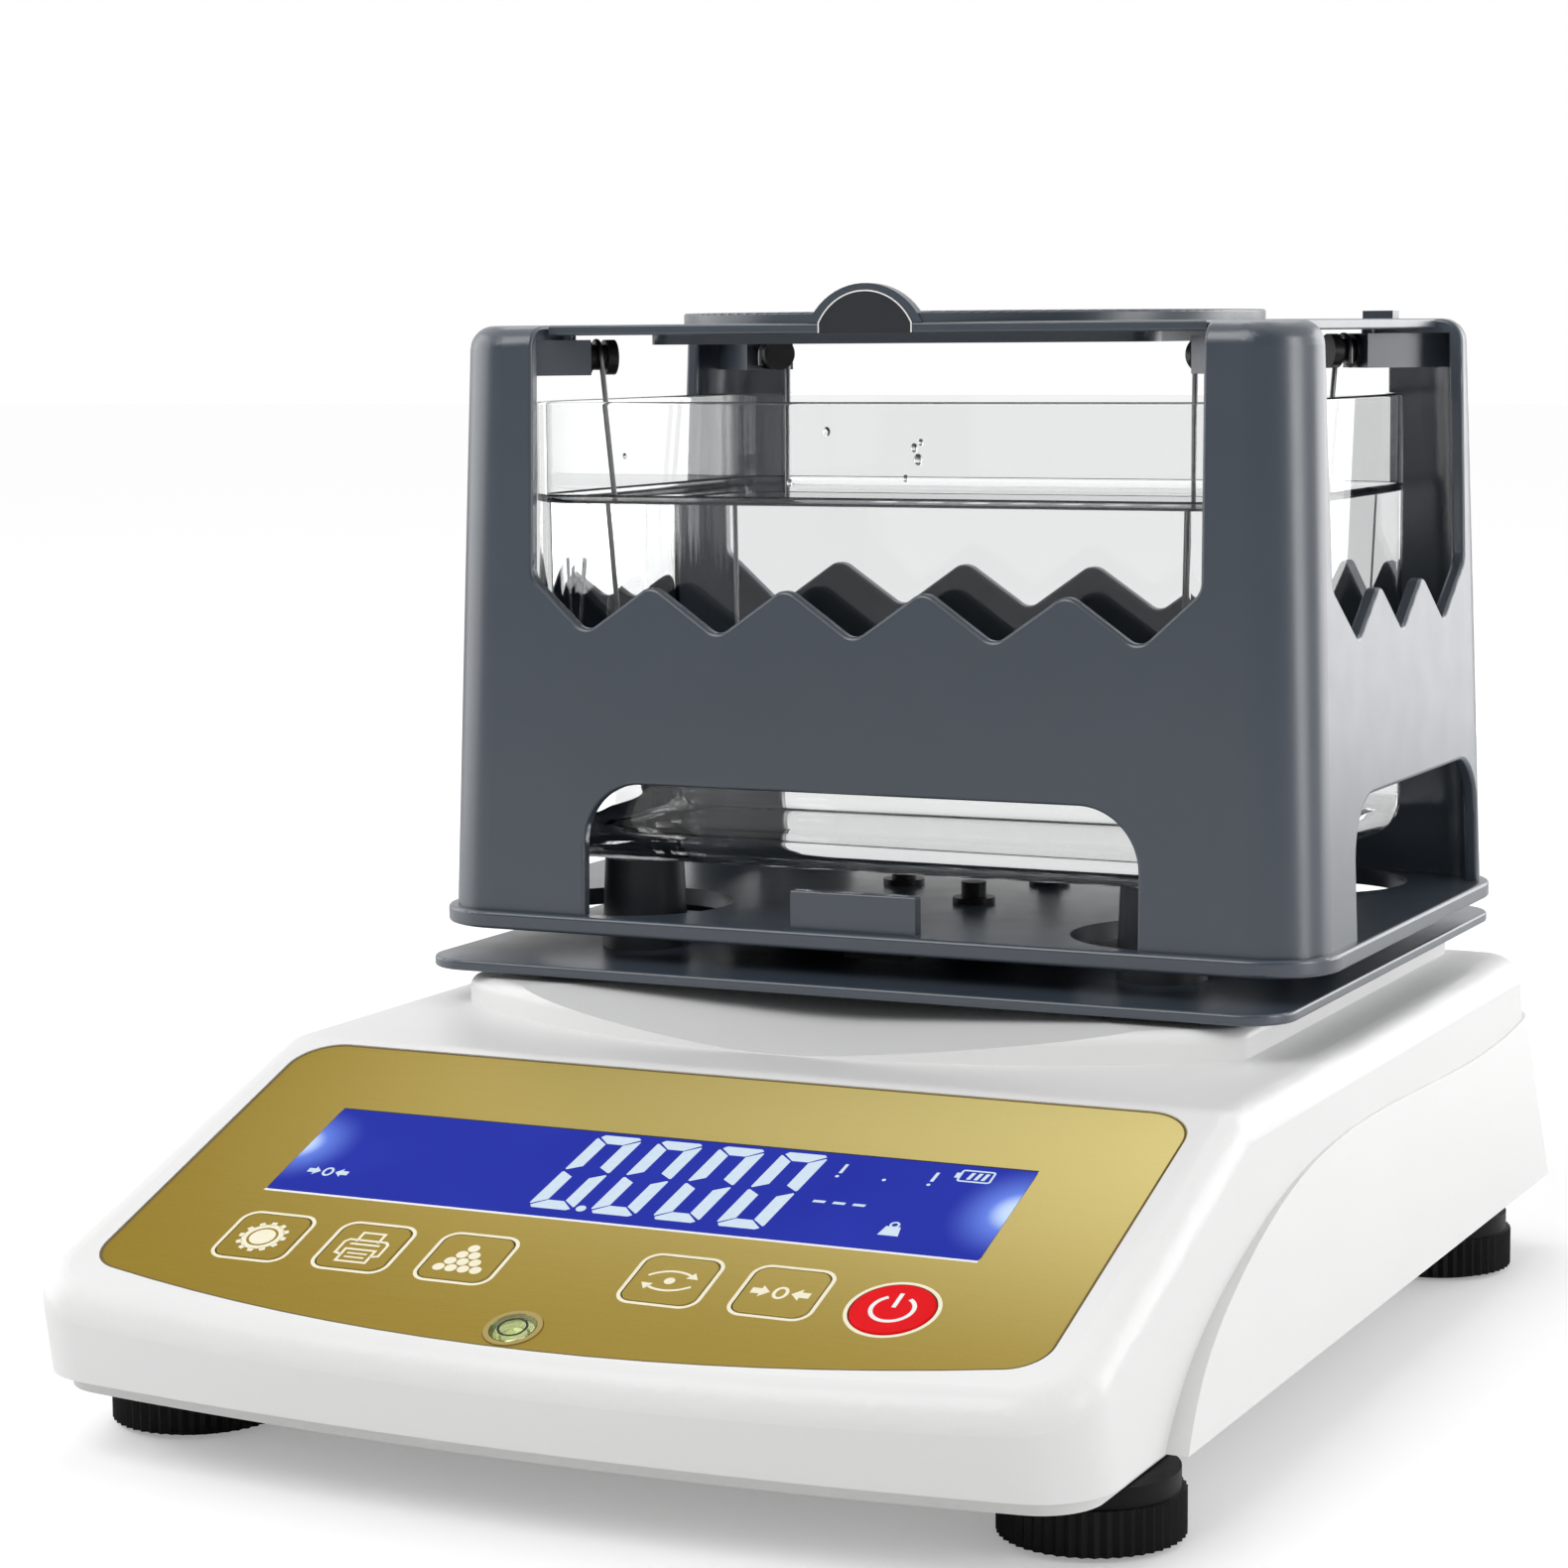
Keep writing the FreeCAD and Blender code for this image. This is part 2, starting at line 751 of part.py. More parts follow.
def standoff_spots():
    return [(side * (main_board_half_w - standoff_inset), y) for side in (-1, 1)
            for y in (main_board_y0 + standoff_inset, main_board_y1 - standoff_inset)]


cell_screw_r = 2.5
cell_screw_head_r = 4.5
cell_screw_first = 0.28
cell_screw_xs = [-cell_half_l + cell_seat_l * share for share in (cell_screw_first, 1 - cell_screw_first)]


def lower_shell():
    inset = case_wall + fit_gap
    floor_top = pan_z0 + pan_floor_t
    pan = case_block(inset, pan_z0, pan_rim_z)
    pan = pan.cut(case_block(inset + pan_wall, floor_top, pan_rim_z + over))
    adds = [rod(x, y, floor_top, foot_boss_top, foot_boss_r) for name, x, y in foot_spots()]
    adds += [rod(x, y, floor_top, main_board_z, standoff_r) for x, y in standoff_spots()]
    pan = pan.fuse(adds)
    cuts = [rod(x, y, pan_z0 - over, foot_boss_top + over, foot_stud_r + thread_gap) for name, x, y in foot_spots()]
    for x, y in case_screw_spots():
        cuts.append(rod(x, y, pan_z0 - over, floor_top + over, screw_r + thread_gap))
        cuts.append(rod(x, y, pan_z0 - over, pan_z0 + screw_head_h + slip_gap, screw_head_r + slip_gap))
    for x, y in standoff_spots():
        cuts.append(rod(x, y, floor_top, main_board_z + over, screw_r + thread_gap))
    for x in cell_screw_xs:
        cuts.append(rod(x, centre_y, pan_z0 - over, floor_top + over, cell_screw_r + thread_gap))
    cuts.append(door_box(fit_gap, pan_z0 - over, floor_top + over))
    cuts.append(door_box(fit_gap + door_seat, pan_z0 - over, pan_z0 + door_t + slip_gap))
    for cutter in cuts:
        pan = pan.cut(cutter)
    return pan.removeSplitter()


def battery_door():
    return door_box(door_seat, pan_z0 + slip_gap, pan_z0 + slip_gap + door_t)


def battery_pack():
    low = pan_z0 + slip_gap + door_t
    solid = door_box(0, low, low + battery_h)
    upright = [e for e in solid.Edges if abs(e.Vertexes[0].Z - e.Vertexes[-1].Z) > battery_h / 2]
    return solid.makeFillet(battery_corner, upright)


def case_screws():
    screws = []
    for x, y in case_screw_spots():
        low = pan_z0 + slip_gap
        head = rod(x, y, low, low + screw_head_h, screw_head_r)
        shank = rod(x, y, low + screw_head_h / 2, pan_z0 + case_screw_l - over, screw_r)
        screws.append(head.fuse(shank).removeSplitter())
    return screws


def foot_knob(x, y):
    """Fluted knob and its stud. The flutes are a ring of straight facets."""
    points = []
    for i in range(2 * foot_knurl_count):
        angle = math.pi * i / foot_knurl_count
        r = foot_r - foot_knurl_depth * (i % 2)
        points.append(V(x + r * math.cos(angle), y + r * math.sin(angle), foot_z0))
    knob = Part.Face(Part.makePolygon(points + points[:1])).extrude(V(0, 0, foot_knurl_z - foot_z0))
    shoulder_top = pan_z0 - body_gap
    knob = knob.fuse(rod(x, y, foot_knurl_z, shoulder_top, foot_shoulder_r))
    knob = knob.fuse(rod(x, y, shoulder_top, foot_stud_top, foot_stud_r))
    knob = knob.cut(rod(x, y, foot_z0 - over, pad_t + slip_gap, pad_r + slip_gap))
    return knob.removeSplitter()


def foot_pad(x, y):
    return rod(x, y, 0, pad_t, pad_r)


# Inside

def main_board():
    top = main_board_z + board_t
    board = block(-main_board_half_w, main_board_half_w, main_board_y0, main_board_y1, main_board_z, top)
    # power part, processor and two connectors, as shares of the board
    length = main_board_y1 - main_board_y0
    width = 2 * main_board_half_w
    parts_shares = [(0.10, 0.20, 0.17, 0.36, 0.10), (0.42, 0.40, 0.14, 0.22, 0.015), (0.72, 0.12, 0.16, 0.10, 0.06),
                    (0.70, 0.72, 0.20, 0.12, 0.05), (0.38, 0.78, 0.08, 0.08, 0.07)]
    for x, y, w, d, h in parts_shares:
        x0 = -main_board_half_w + width * x
        y0 = main_board_y0 + length * y
        board = board.fuse(block(x0, x0 + width * w, y0, y0 + length * d, top, top + width * h))
    for x, y in standoff_spots():
        board = board.cut(rod(x, y, main_board_z - over, top + over, screw_r + thread_gap))
    return board.removeSplitter()


def main_board_screws():
    top = main_board_z + board_t
    screws = []
    for x, y in standoff_spots():
        head = rod(x, y, top, top + screw_head_h, screw_head_r)
        shank = rod(x, y, pan_z0 + pan_floor_t + over, top + screw_head_h / 2, screw_r)
        screws.append(head.fuse(shank).removeSplitter())
    return screws


def cell_pedestal():
    half = cell_half_w + over
    seat = block(-cell_half_l, -cell_half_l + cell_seat_l, centre_y - half, centre_y + half,
                 pan_z0 + pan_floor_t, cell_z0)
    for x in cell_screw_xs:
        seat = seat.cut(rod(x, centre_y, pan_z0, cell_z0 + over, cell_screw_r + thread_gap))
    return seat


def load_cell():
    bar = block(-cell_half_l, cell_half_l, centre_y - cell_half_w, centre_y + cell_half_w, cell_z0, cell_z0 + cell_h)
    mid_z = cell_z0 + cell_h / 2
    start = centre_y - cell_half_w - over
    for side in (-1, 1):
        hole = Part.makeCylinder(cell_hole_r, 2 * (cell_half_w + over), V(side * cell_hole_x, start, mid_z), V(0, 1, 0))
        bar = bar.cut(hole)
    bar = bar.cut(block(-cell_hole_x, cell_hole_x, start, centre_y + cell_half_w + over,
                        mid_z - cell_hole_r / 2, mid_z + cell_hole_r / 2))
    for x in cell_screw_xs:
        bar = bar.cut(rod(x, centre_y, cell_z0 - over, cell_z0 + cell_h / 2, cell_screw_r + thread_gap))
    return bar.removeSplitter()


def cell_screws():
    screws = []
    for x in cell_screw_xs:
        head = rod(x, centre_y, pan_z0 - screw_head_h, pan_z0, cell_screw_head_r)
        shank = rod(x, centre_y, pan_z0 - screw_head_h / 2, cell_z0 + cell_h / 3, cell_screw_r)
        screws.append(head.fuse(shank).removeSplitter())
    return screws


bridge_z = cell_z0 + cell_h + cell_travel_gap
spider_z1 = floor_z - floor_t
spider_z0 = spider_z1 - spider_t


def weighing_bridge():
    tongue = block(-bridge_half_w, cell_half_l, centre_y - bridge_half_w, centre_y + bridge_half_w,
                   bridge_z, bridge_z + bridge_t)
    post = rod(0, centre_y, bridge_z, spider_z0, weigh_post_r)
    return tongue.fuse(post).removeSplitter()


def hub_screw_spots():
    spots = []
    for k in range(hub_screw_count):
        angle = math.radians(hub_screw_first) + 2 * math.pi * k / hub_screw_count
        spots.append((hub_screw_circle * math.cos(angle), centre_y + hub_screw_circle * math.sin(angle)))
    return spots


def weighing_spider():
    half = spider_arm_w / 2
    cross = block(-spider_reach_x, spider_reach_x, centre_y - half, centre_y + half, spider_z0, spider_z1)
    cross = cross.fuse(block(-half, half, centre_y - spider_reach_y, centre_y + spider_reach_y, spider_z0, spider_z1))
    cross = cross.fuse(rod(0, centre_y, spider_z0, spider_z1, spider_hub_r + screw_head_r))
    for x, y in hub_screw_spots():
        cross = cross.cut(rod(x, y, spider_z0 + spider_t / 3, spider_z1 + over, screw_r + thread_gap))
    return cross.removeSplitter()


def serial_port():
    inner_y = case_y_rear - case_wall - fit_gap
    body = block(port_x - port_w / 2, port_x + port_w / 2, inner_y - port_d, inner_y,
                 port_z - port_h / 2, port_z + port_h / 2)
    lip_half_w_port = port_lip_w / 2
    lip_half_h = port_lip_h / 2
    lip = block(port_x - lip_half_w_port, port_x + lip_half_w_port, inner_y, case_y_rear - slip_gap,
                port_z - lip_half_h, port_z + lip_half_h)
    socket = body.fuse(lip)
    wall = (port_lip_h - port_lip_t) / 4
    socket = socket.cut(block(port_x - lip_half_w_port + wall, port_x + lip_half_w_port - wall,
                              inner_y - port_d / 2, case_y_rear + over,
                              port_z - lip_half_h + wall, port_z + lip_half_h - wall))
    tongue = block(port_x - lip_half_w_port + 2 * wall, port_x + lip_half_w_port - 2 * wall,
                   inner_y - port_d / 2, case_y_rear - case_wall / 2,
                   port_z - port_lip_t / 2, port_z + port_lip_t / 2)
    return socket.fuse(tongue).removeSplitter()


def dc_inlet():
    back = case_y_rear - inlet_d
    body = block(inlet_x - inlet_w / 2, inlet_x + inlet_w / 2, back, case_y_rear - slip_gap,
                 inlet_z - inlet_h / 2, inlet_z + inlet_h / 2)
    bore = Part.makeCylinder(inlet_bore_r, inlet_d, V(inlet_x, back + inlet_d / 4, inlet_z), V(0, 1, 0))
    pin = Part.makeCylinder(inlet_pin_r, inlet_d / 2, V(inlet_x, back + inlet_d / 5, inlet_z), V(0, 1, 0))
    return body.cut(bore).fuse(pin).removeSplitter()


# Plates and posts that stay still

def lower_plate():
    solid = plate(low_plate_half_w, low_plate_half_d, low_plate_corner, low_plate_z - low_plate_t, low_plate_z)
    level = edges_where(solid, lambda p: abs(p.z - low_plate_z) < near or abs(p.z - low_plate_z + low_plate_t) < near)
    solid = solid.makeFillet(low_plate_edge_r, level)
    return solid.cut(rod(0, centre_y, low_plate_z - low_plate_t - over, low_plate_z + over, weigh_hole_r))


def plate_pads():
    low = low_plate_z - low_plate_t
    return [rod(sx * plate_pad_x, centre_y + sy * plate_pad_dy, plinth_z, low, plate_pad_r)
            for sx in (-1, 1) for sy in (-1, 1)]


def tank_post(sx, sy):
    return Part.makeCone(post_r_low, post_r_top, tank_z0 - low_plate_z,
                         V(sx * post_x, centre_y + sy * post_dy, low_plate_z))


# Weighing frame

def frame_floor():
    low = floor_z - floor_t
    solid = plate(floor_half_w, floor_half_d, floor_corner, low, floor_z)
    rims = edges_where(solid, lambda p: abs(p.z - floor_z) < slip_gap or abs(p.z - low) < slip_gap)
    solid = solid.makeFillet(floor_edge_r, rims)
    for sx in (-1, 1):
        for sy in (-1, 1):
            solid = solid.cut(rod(sx * floor_hole_x, centre_y + sy * floor_hole_dy, low - over, floor_z + over,
                                  floor_hole_r))
    for x, y in hub_screw_spots():
        solid = solid.cut(rod(x, y, low - over, floor_z + over, screw_r + thread_gap))
    stop = block(-stop_half_w, stop_half_w, stop_y, stop_y + stop_t, floor_z - floor_t / 2, floor_z + stop_h)
    stop = stop.makeFillet(stop_edge_r, edges_where(stop, lambda p: p.z > floor_z + stop_h - near))
    return solid.fuse(stop).removeSplitter()


def hub_screws():
    screws = []
    for x, y in hub_screw_spots():
        washer = rod(x, y, floor_z, floor_z + hub_washer_h, hub_screw_r)
        cap = rod(x, y, floor_z + hub_washer_h, floor_z + hub_screw_h, hub_screw_cap_r)
        shank = rod(x, y, spider_z0 + spider_t / 2, floor_z + hub_washer_h, screw_r)
        screws.append(washer.fuse([cap, shank]).removeSplitter())
    return screws


def frame_section(z, inset):
    """The frame's outline at one height; it narrows towards the top."""
    share = (z - floor_z) / (frame_top_z - floor_z)
    half_w = frame_base_half_w + (frame_top_half_w - frame_base_half_w) * share
    half_d = frame_base_half_d + (frame_top_half_d - frame_base_half_d) * share
    return plate_wire(half_w - inset, half_d - inset, frame_corner - inset, z)


def frame_block(inset, z0, z1):
    return Part.makeLoft([frame_section(z0, inset), frame_section(z1, inset)], True, True)


def zigzag(count, half_low, half_top):
    """Window outline as (along, z) points: straight sides above a row of rounded teeth."""
    top_z = frame_top_z + over
    points = [(-half_top, top_z), (-half_low, opening_low_z)]
    radii = [0, opening_corner_r]
    for k in range(-count, count + 1):
        points.append((k * zigzag_pitch, zigzag_low_z))
        radii.append(zigzag_r)
        if k < count:
            points.append(((k + 0.5) * zigzag_pitch, zigzag_high_z))
            radii.append(zigzag_r)
    points += [(half_low, opening_low_z), (half_top, top_z)]
    radii += [opening_corner_r, 0]
    return points, radii


def window_cutter_front():
    points, radii = zigzag(2, opening_half_x, opening_half_x)
    y = centre_y - frame_base_half_d - over
    wire = rounded_path([V(x, y, z) for x, z in points], radii)
    return Part.Face(wire).extrude(V(0, 2 * (frame_base_half_d + over), 0))


def window_cutter_side():
    points, radii = zigzag(1, opening_side_half_low, opening_side_half_top)
    x = -frame_base_half_w - over
    wire = rounded_path([V(x, centre_y + y, z) for y, z in points], radii)
    return Part.Face(wire).extrude(V(2 * (frame_base_half_w + over), 0, 0))


def arch_cutters():
    low = floor_z - over
    y = centre_y - frame_base_half_d - over
    front = [V(-arch_half_x, y, low), V(-arch_half_x, y, arch_z), V(arch_half_x, y, arch_z), V(arch_half_x, y, low)]
    radii = [0, arch_corner_r, arch_corner_r, 0]
    through = Part.Face(rounded_path(front, radii)).extrude(V(0, 2 * (frame_base_half_d + over), 0))
    x = -frame_base_half_w - over
    y0 = centre_y + arch_side_front_dy
    y1 = centre_y + arch_side_rear_dy
    side = [V(x, y0, low), V(x, y0, arch_z), V(x, y1, arch_z), V(x, y1, low)]
    across = Part.Face(rounded_path(side, radii)).extrude(V(2 * (frame_base_half_w + over), 0, 0))
    return [through, across]


corners = [("front_left", -1, -1), ("front_right", 1, -1), ("rear_left", -1, 1), ("rear_right", 1, 1)]
peg_z = (arm_z0 + arm_z1) / 2
peg_length = peg_head_t / 2 + peg_neck_l + peg_flange_t


def inward(sx, sy):
    """Level direction from a column towards the middle, on the diagonal."""
    way = V(-sx, -sy, 0)
    way.normalize()
    return way


def peg_head_centre(sx, sy):
    return V(sx * peg_x, centre_y + sy * peg_dy, peg_z)


def arm(sx, sy):
    """Beam that runs from a column's corner to its peg."""
    way = inward(sx, sy)
    side = way.cross(V(0, 0, 1))
    start = peg_head_centre(sx, sy) - way * peg_length
    start.z = arm_z0
    reach = frame_top_half_w
    base = [start + side * (arm_w / 2), start - side * (arm_w / 2),
            start - side * (arm_w / 2) - way * reach, start + side * (arm_w / 2) - way * reach]
    return Part.Face(Part.makePolygon(base + base[:1])).extrude(V(0, 0, arm_z1 - arm_z0))


def pip(sx, sy):
    spot = peg_head_centre(sx, sy) - inward(sx, sy) * (peg_length + 2 * pip_r)
    return rod(spot.x, spot.y, arm_z0 + pip_r, frame_top_z - dish_t, pip_r)


def on_wall(point):
    """True on the outer or the inner face of one of the frame's four leaning walls."""
    share = (point.z - floor_z) / (frame_top_z - floor_z)
    out_w = abs(point.x) - frame_base_half_w + (frame_base_half_w - frame_top_half_w) * share
    out_d = abs(point.y - centre_y) - frame_base_half_d + (frame_base_half_d - frame_top_half_d) * share
    return any(abs(out) < near or abs(out + frame_wall) < near for out in (out_w, out_d))


def frame_body():
    outer = frame_block(0, floor_z, frame_top_z)
    rim = edges_where(outer, lambda p: abs(p.z - frame_top_z) < slip_gap)
    outer = outer.makeFillet(frame_cap_r, rim)
    body = outer.cut(frame_block(frame_wall, floor_z - over, frame_top_z - frame_wall))
    for cutter in [window_cutter_front(), window_cutter_side()] + arch_cutters():
        body = body.cut(cutter)
    rims = edges_where(body, lambda p: floor_z + near < p.z < arm_z0 and on_wall(p))
    body = body.makeFillet(frame_rim_r, [e for e in rims if turn_at(body, e) > sharp_turn])
    arms = [arm(sx, sy).common(outer) for name, sx, sy in corners]
    pips = [pip(sx, sy) for name, sx, sy in corners]
    return body.fuse(arms + pips).removeSplitter()


def peg(sx, sy):
    """Grooved peg: a flange on the arm, a thin neck for the wire, and a head."""
    way = inward(sx, sy)
    start = peg_head_centre(sx, sy) - way * peg_length
    flange = Part.makeCylinder(peg_head_r, peg_flange_t, start, way)
    neck = Part.makeCylinder(peg_neck_r, peg_neck_l, start + way * peg_flange_t, way)
    head = Part.makeCylinder(peg_head_r, peg_head_t, start + way * (peg_flange_t + peg_neck_l), way)
    return flange.fuse([neck, head]).removeSplitter()


# Weighing pan

def weighing_pan():
    low = frame_top_z - dish_t
    solid = plate(dish_half_w, dish_half_d, dish_corner, low, frame_top_z)
    inner_x = opening_half_x - dish_notch_gap
    inner_y = opening_side_half_top - dish_notch_gap
    for name, sx, sy in corners:
        x0, x1 = sorted([sx * inner_x, sx * (dish_half_w + over)])
        y0, y1 = sorted([centre_y + sy * inner_y, centre_y + sy * (dish_half_d + over)])
        solid = solid.cut(block(x0, x1, y0, y1, low - over, frame_top_z + over))
    edges = edges_where(solid, lambda p: abs(p.z - frame_top_z) < near or abs(p.z - low) < near)
    solid = solid.makeFillet(dish_edge_r, edges)
    rim = plate(rim_half_w, rim_half_d, rim_corner, frame_top_z - dish_edge_r, frame_top_z + rim_h)
    rim = rim.cut(plate(rim_half_w - rim_t, rim_half_d - rim_t, rim_corner - rim_t,
                        frame_top_z - over, frame_top_z + rim_h + over))
    rim = rim.makeFillet(dish_edge_r, edges_where(rim, lambda p: p.z > frame_top_z + rim_h - near))
    lip = plate(lip_half_w, lip_half_d, lip_corner, low - lip_h, low)
    lip = lip.cut(plate(lip_half_w - rim_t, lip_half_d - rim_t, lip_corner - rim_t, low - lip_h - over, low))
    y = centre_y - dish_half_d
    bump = block(bump_x - bump_w / 2, bump_x + bump_w / 2, bump_y - bump_d / 2, bump_y + bump_d / 2,
                 frame_top_z, frame_top_z + bump_h)
    face_w = tab_half_w * tab_face_share
    face_h = tab_h * tab_face_share
    pocket = tab_disc(face_w, face_h, y - over, over + tab_face_depth)
    tab = tab_disc(tab_half_w, tab_h, y, tab_t).cut(pocket)
    return solid.fuse([rim, lip, bump, tab]).removeSplitter()


def tab_disc(half_w, height, y, depth):
    """Part of a disc that stands up from the pan's top face."""
    left = V(-half_w, y, frame_top_z)
    right = V(half_w, y, frame_top_z)
    wire = Part.Wire([Part.Arc(left, V(0, y, frame_top_z + height), right).toShape(),
                      Part.LineSegment(right, left).toShape()])
    return Part.Face(wire).extrude(V(0, depth, 0))


# Basket

def hanger_wire(sx, sy):
    """Steel wire that hooks over a peg's neck and runs down to the basket."""
    way = inward(sx, sy)
    side = V(0, 0, 1).cross(way) * (sx * sy)
    neck = peg_head_centre(sx, sy) - way * (peg_head_t / 2 + peg_neck_l / 2)
    bend_r = peg_neck_r + wire_r + 2 * thread_gap
    start = neck + side * bend_r
    stop = neck - side * bend_r
    bend = Part.Face(Part.Wire(Part.makeCircle(wire_r, start, V(0, 0, 1)))).revolve(neck, side.cross(V(0, 0, 1)), 180)
    short_leg = Part.makeCylinder(wire_r, wire_hook_leg, start, V(0, 0, -1))
    foot = V(sx * basket_wire_x, centre_y + sy * basket_wire_dy, basket_z + basket_t)
    run = foot - stop
    long_leg = Part.makeCylinder(wire_r, run.Length, stop, run)
    joint = Part.makeSphere(wire_r, stop)
    return bend.fuse([short_leg, long_leg, joint]).removeSplitter()


def basket_tray():
    solid = plate(basket_half_w, basket_half_d, basket_corner, basket_z, basket_z + basket_rim_h)
    solid = solid.cut(plate(basket_half_w - basket_t, basket_half_d - basket_t, basket_corner - basket_t,
                            basket_z + basket_t, basket_z + basket_rim_h + over))
    holes = []
    for i in range(basket_holes_x):
        for j in range(basket_holes_y):
            x = (i - (basket_holes_x - 1) / 2) * basket_hole_pitch
            y = centre_y + (j - (basket_holes_y - 1) / 2) * basket_hole_pitch
            holes.append(rod(x, y, basket_z - over, basket_z + basket_t + over, basket_hole_r))
    return solid.cut(Part.makeCompound(holes))


# Tank

def tank_blank(inset, z0, z1, foot_r):
    solid = plate(tank_half_w - inset, tank_half_d - inset, tank_corner - inset, z0, z1)
    low = edges_where(solid, lambda p: abs(p.z - z0) < slip_gap)
    return solid.makeFillet(foot_r, low)


def water_tank():
    outer = tank_blank(0, tank_z0, tank_z1, tank_foot_r)
    inner = tank_blank(tank_wall, tank_z0 + tank_floor_t, tank_z1 + over, tank_foot_r - tank_wall)
    tank = outer.cut(inner)
    return tank.makeFillet(tank_rim_r, edges_where(tank, lambda p: abs(p.z - tank_z1) < near))


# Everything, one node at a time

def main():
    save("upper_shell", upper_shell())
    save("lower_shell", lower_shell())
    save("control_panel", control_panel())
    save("display_window", display_window())
    save("lcd_module", lcd_module())
    save("display_board", display_board())
    save("board_screws", board_screws() + main_board_screws())
    for name, u in zip(key_names, key_spots):
        save(name, square_key(u))
    save("key_power", power_key())
    save("level_cup", level_cup())
    save("level_lens", level_lens())
    save("battery_door", battery_door())
    save("battery_pack", battery_pack())
    save("case_screws", case_screws())
    for name, x, y in foot_spots():
        save("foot_knob_" + name, foot_knob(x, y))
        save("foot_pad_" + name, foot_pad(x, y))
    save("main_board", main_board())
    save("cell_pedestal", cell_pedestal())
    save("load_cell", load_cell())
    save("cell_screws", cell_screws())
    save("weighing_bridge", weighing_bridge())
    save("weighing_spider", weighing_spider())
    save("serial_port", serial_port())
    save("dc_inlet", dc_inlet())
    save("lower_plate", lower_plate())
    save("plate_pads", plate_pads())
    for name, sx, sy in corners:
        save("tank_post_" + name, tank_post(sx, sy))
    save("frame_floor", frame_floor())
    save("hub_screws", hub_screws())
    save("frame_body", frame_body())
    for name, sx, sy in corners:
        save("hanger_peg_" + name, peg(sx, sy))
    save("weighing_pan", weighing_pan())
    save("hanger_wires", [hanger_wire(sx, sy) for name, sx, sy in corners])
    save("basket_tray", basket_tray())
    save("water_tank", water_tank())


main()
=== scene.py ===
# %% [markdown]
# # An electronic gold tester, dressed for its picture
# A gold tester weighs a piece twice: in air on the plate at the top, and under water in a basket that hangs in a
# clear tank. The difference tells how dense the piece is. The shapes and the moving parts come as one packed
# CAD model, which stays where it is. This file gives every piece its finish, adds what is printed, lit, wet or
# too fine for CAD, and sets up the light and the camera.

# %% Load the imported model
import json
import math
import random

import bmesh
import bpy
from mathutils import Matrix, Vector


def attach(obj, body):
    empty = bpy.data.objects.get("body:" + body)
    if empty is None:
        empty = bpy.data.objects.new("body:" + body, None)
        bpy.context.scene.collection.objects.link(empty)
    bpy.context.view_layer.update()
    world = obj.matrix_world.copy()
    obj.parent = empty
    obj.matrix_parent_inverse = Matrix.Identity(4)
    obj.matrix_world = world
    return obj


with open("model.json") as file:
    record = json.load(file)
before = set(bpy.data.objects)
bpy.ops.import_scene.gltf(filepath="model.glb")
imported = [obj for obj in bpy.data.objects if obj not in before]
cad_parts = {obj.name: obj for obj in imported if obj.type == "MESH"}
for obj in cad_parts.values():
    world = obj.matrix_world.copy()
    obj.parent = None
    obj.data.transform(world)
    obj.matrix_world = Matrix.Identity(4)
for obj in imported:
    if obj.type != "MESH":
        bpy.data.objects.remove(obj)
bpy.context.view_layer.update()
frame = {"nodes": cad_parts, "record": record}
nodes = frame["nodes"]
mm = 0.001

# %% [markdown]
# ## The camera
# The camera stands where the photographer stood: to the right of the middle, about 0.75 m from the keys, and
# level with the top of the weighing frame. A long lens keeps the sides nearly parallel. Its axes are worked out
# from three angles, yaw, pitch and roll, because that is how the place was measured.

# %% Camera
camera_place = Vector((0.31286, -0.68775, 0.19985))
camera_yaw, camera_pitch, camera_roll = (math.radians(angle) for angle in (25.392, 6.66, -0.469))
photo_side_px = 1580
focal_px = 3911.697
sensor_mm = 36

forward = Vector((-math.sin(camera_yaw) * math.cos(camera_pitch),
                  math.cos(camera_yaw) * math.cos(camera_pitch), -math.sin(camera_pitch)))
level_right = Vector((math.cos(camera_yaw), math.sin(camera_yaw), 0))
level_up = level_right.cross(forward)
camera_right = math.cos(camera_roll) * level_right + math.sin(camera_roll) * level_up
camera_up = math.cos(camera_roll) * level_up - math.sin(camera_roll) * level_right

lens = bpy.data.cameras.new("camera")
lens.sensor_width = sensor_mm
lens.lens = sensor_mm * focal_px / photo_side_px
lens.clip_start, lens.clip_end = 0.01, 20
camera = bpy.data.objects.new("camera", lens)
turn = Matrix((camera_right, camera_up, -forward)).transposed().to_4x4()
camera.matrix_world = Matrix.Translation(camera_place) @ turn
bpy.context.scene.collection.objects.link(camera)
bpy.context.scene.camera = camera
print("lens", round(lens.lens, 2), "mm")

# %% [markdown]
# ## Writing shaders as sums
# A material is a tree of small nodes joined by wires. Placing them one by one in code is long and hard to read, so
# one small class holds a socket of the tree and lets it be added, subtracted, multiplied and divided like a
# number. Each sum adds the Math node that does it. Any other node comes from the one method `node`.

# %% The wire class


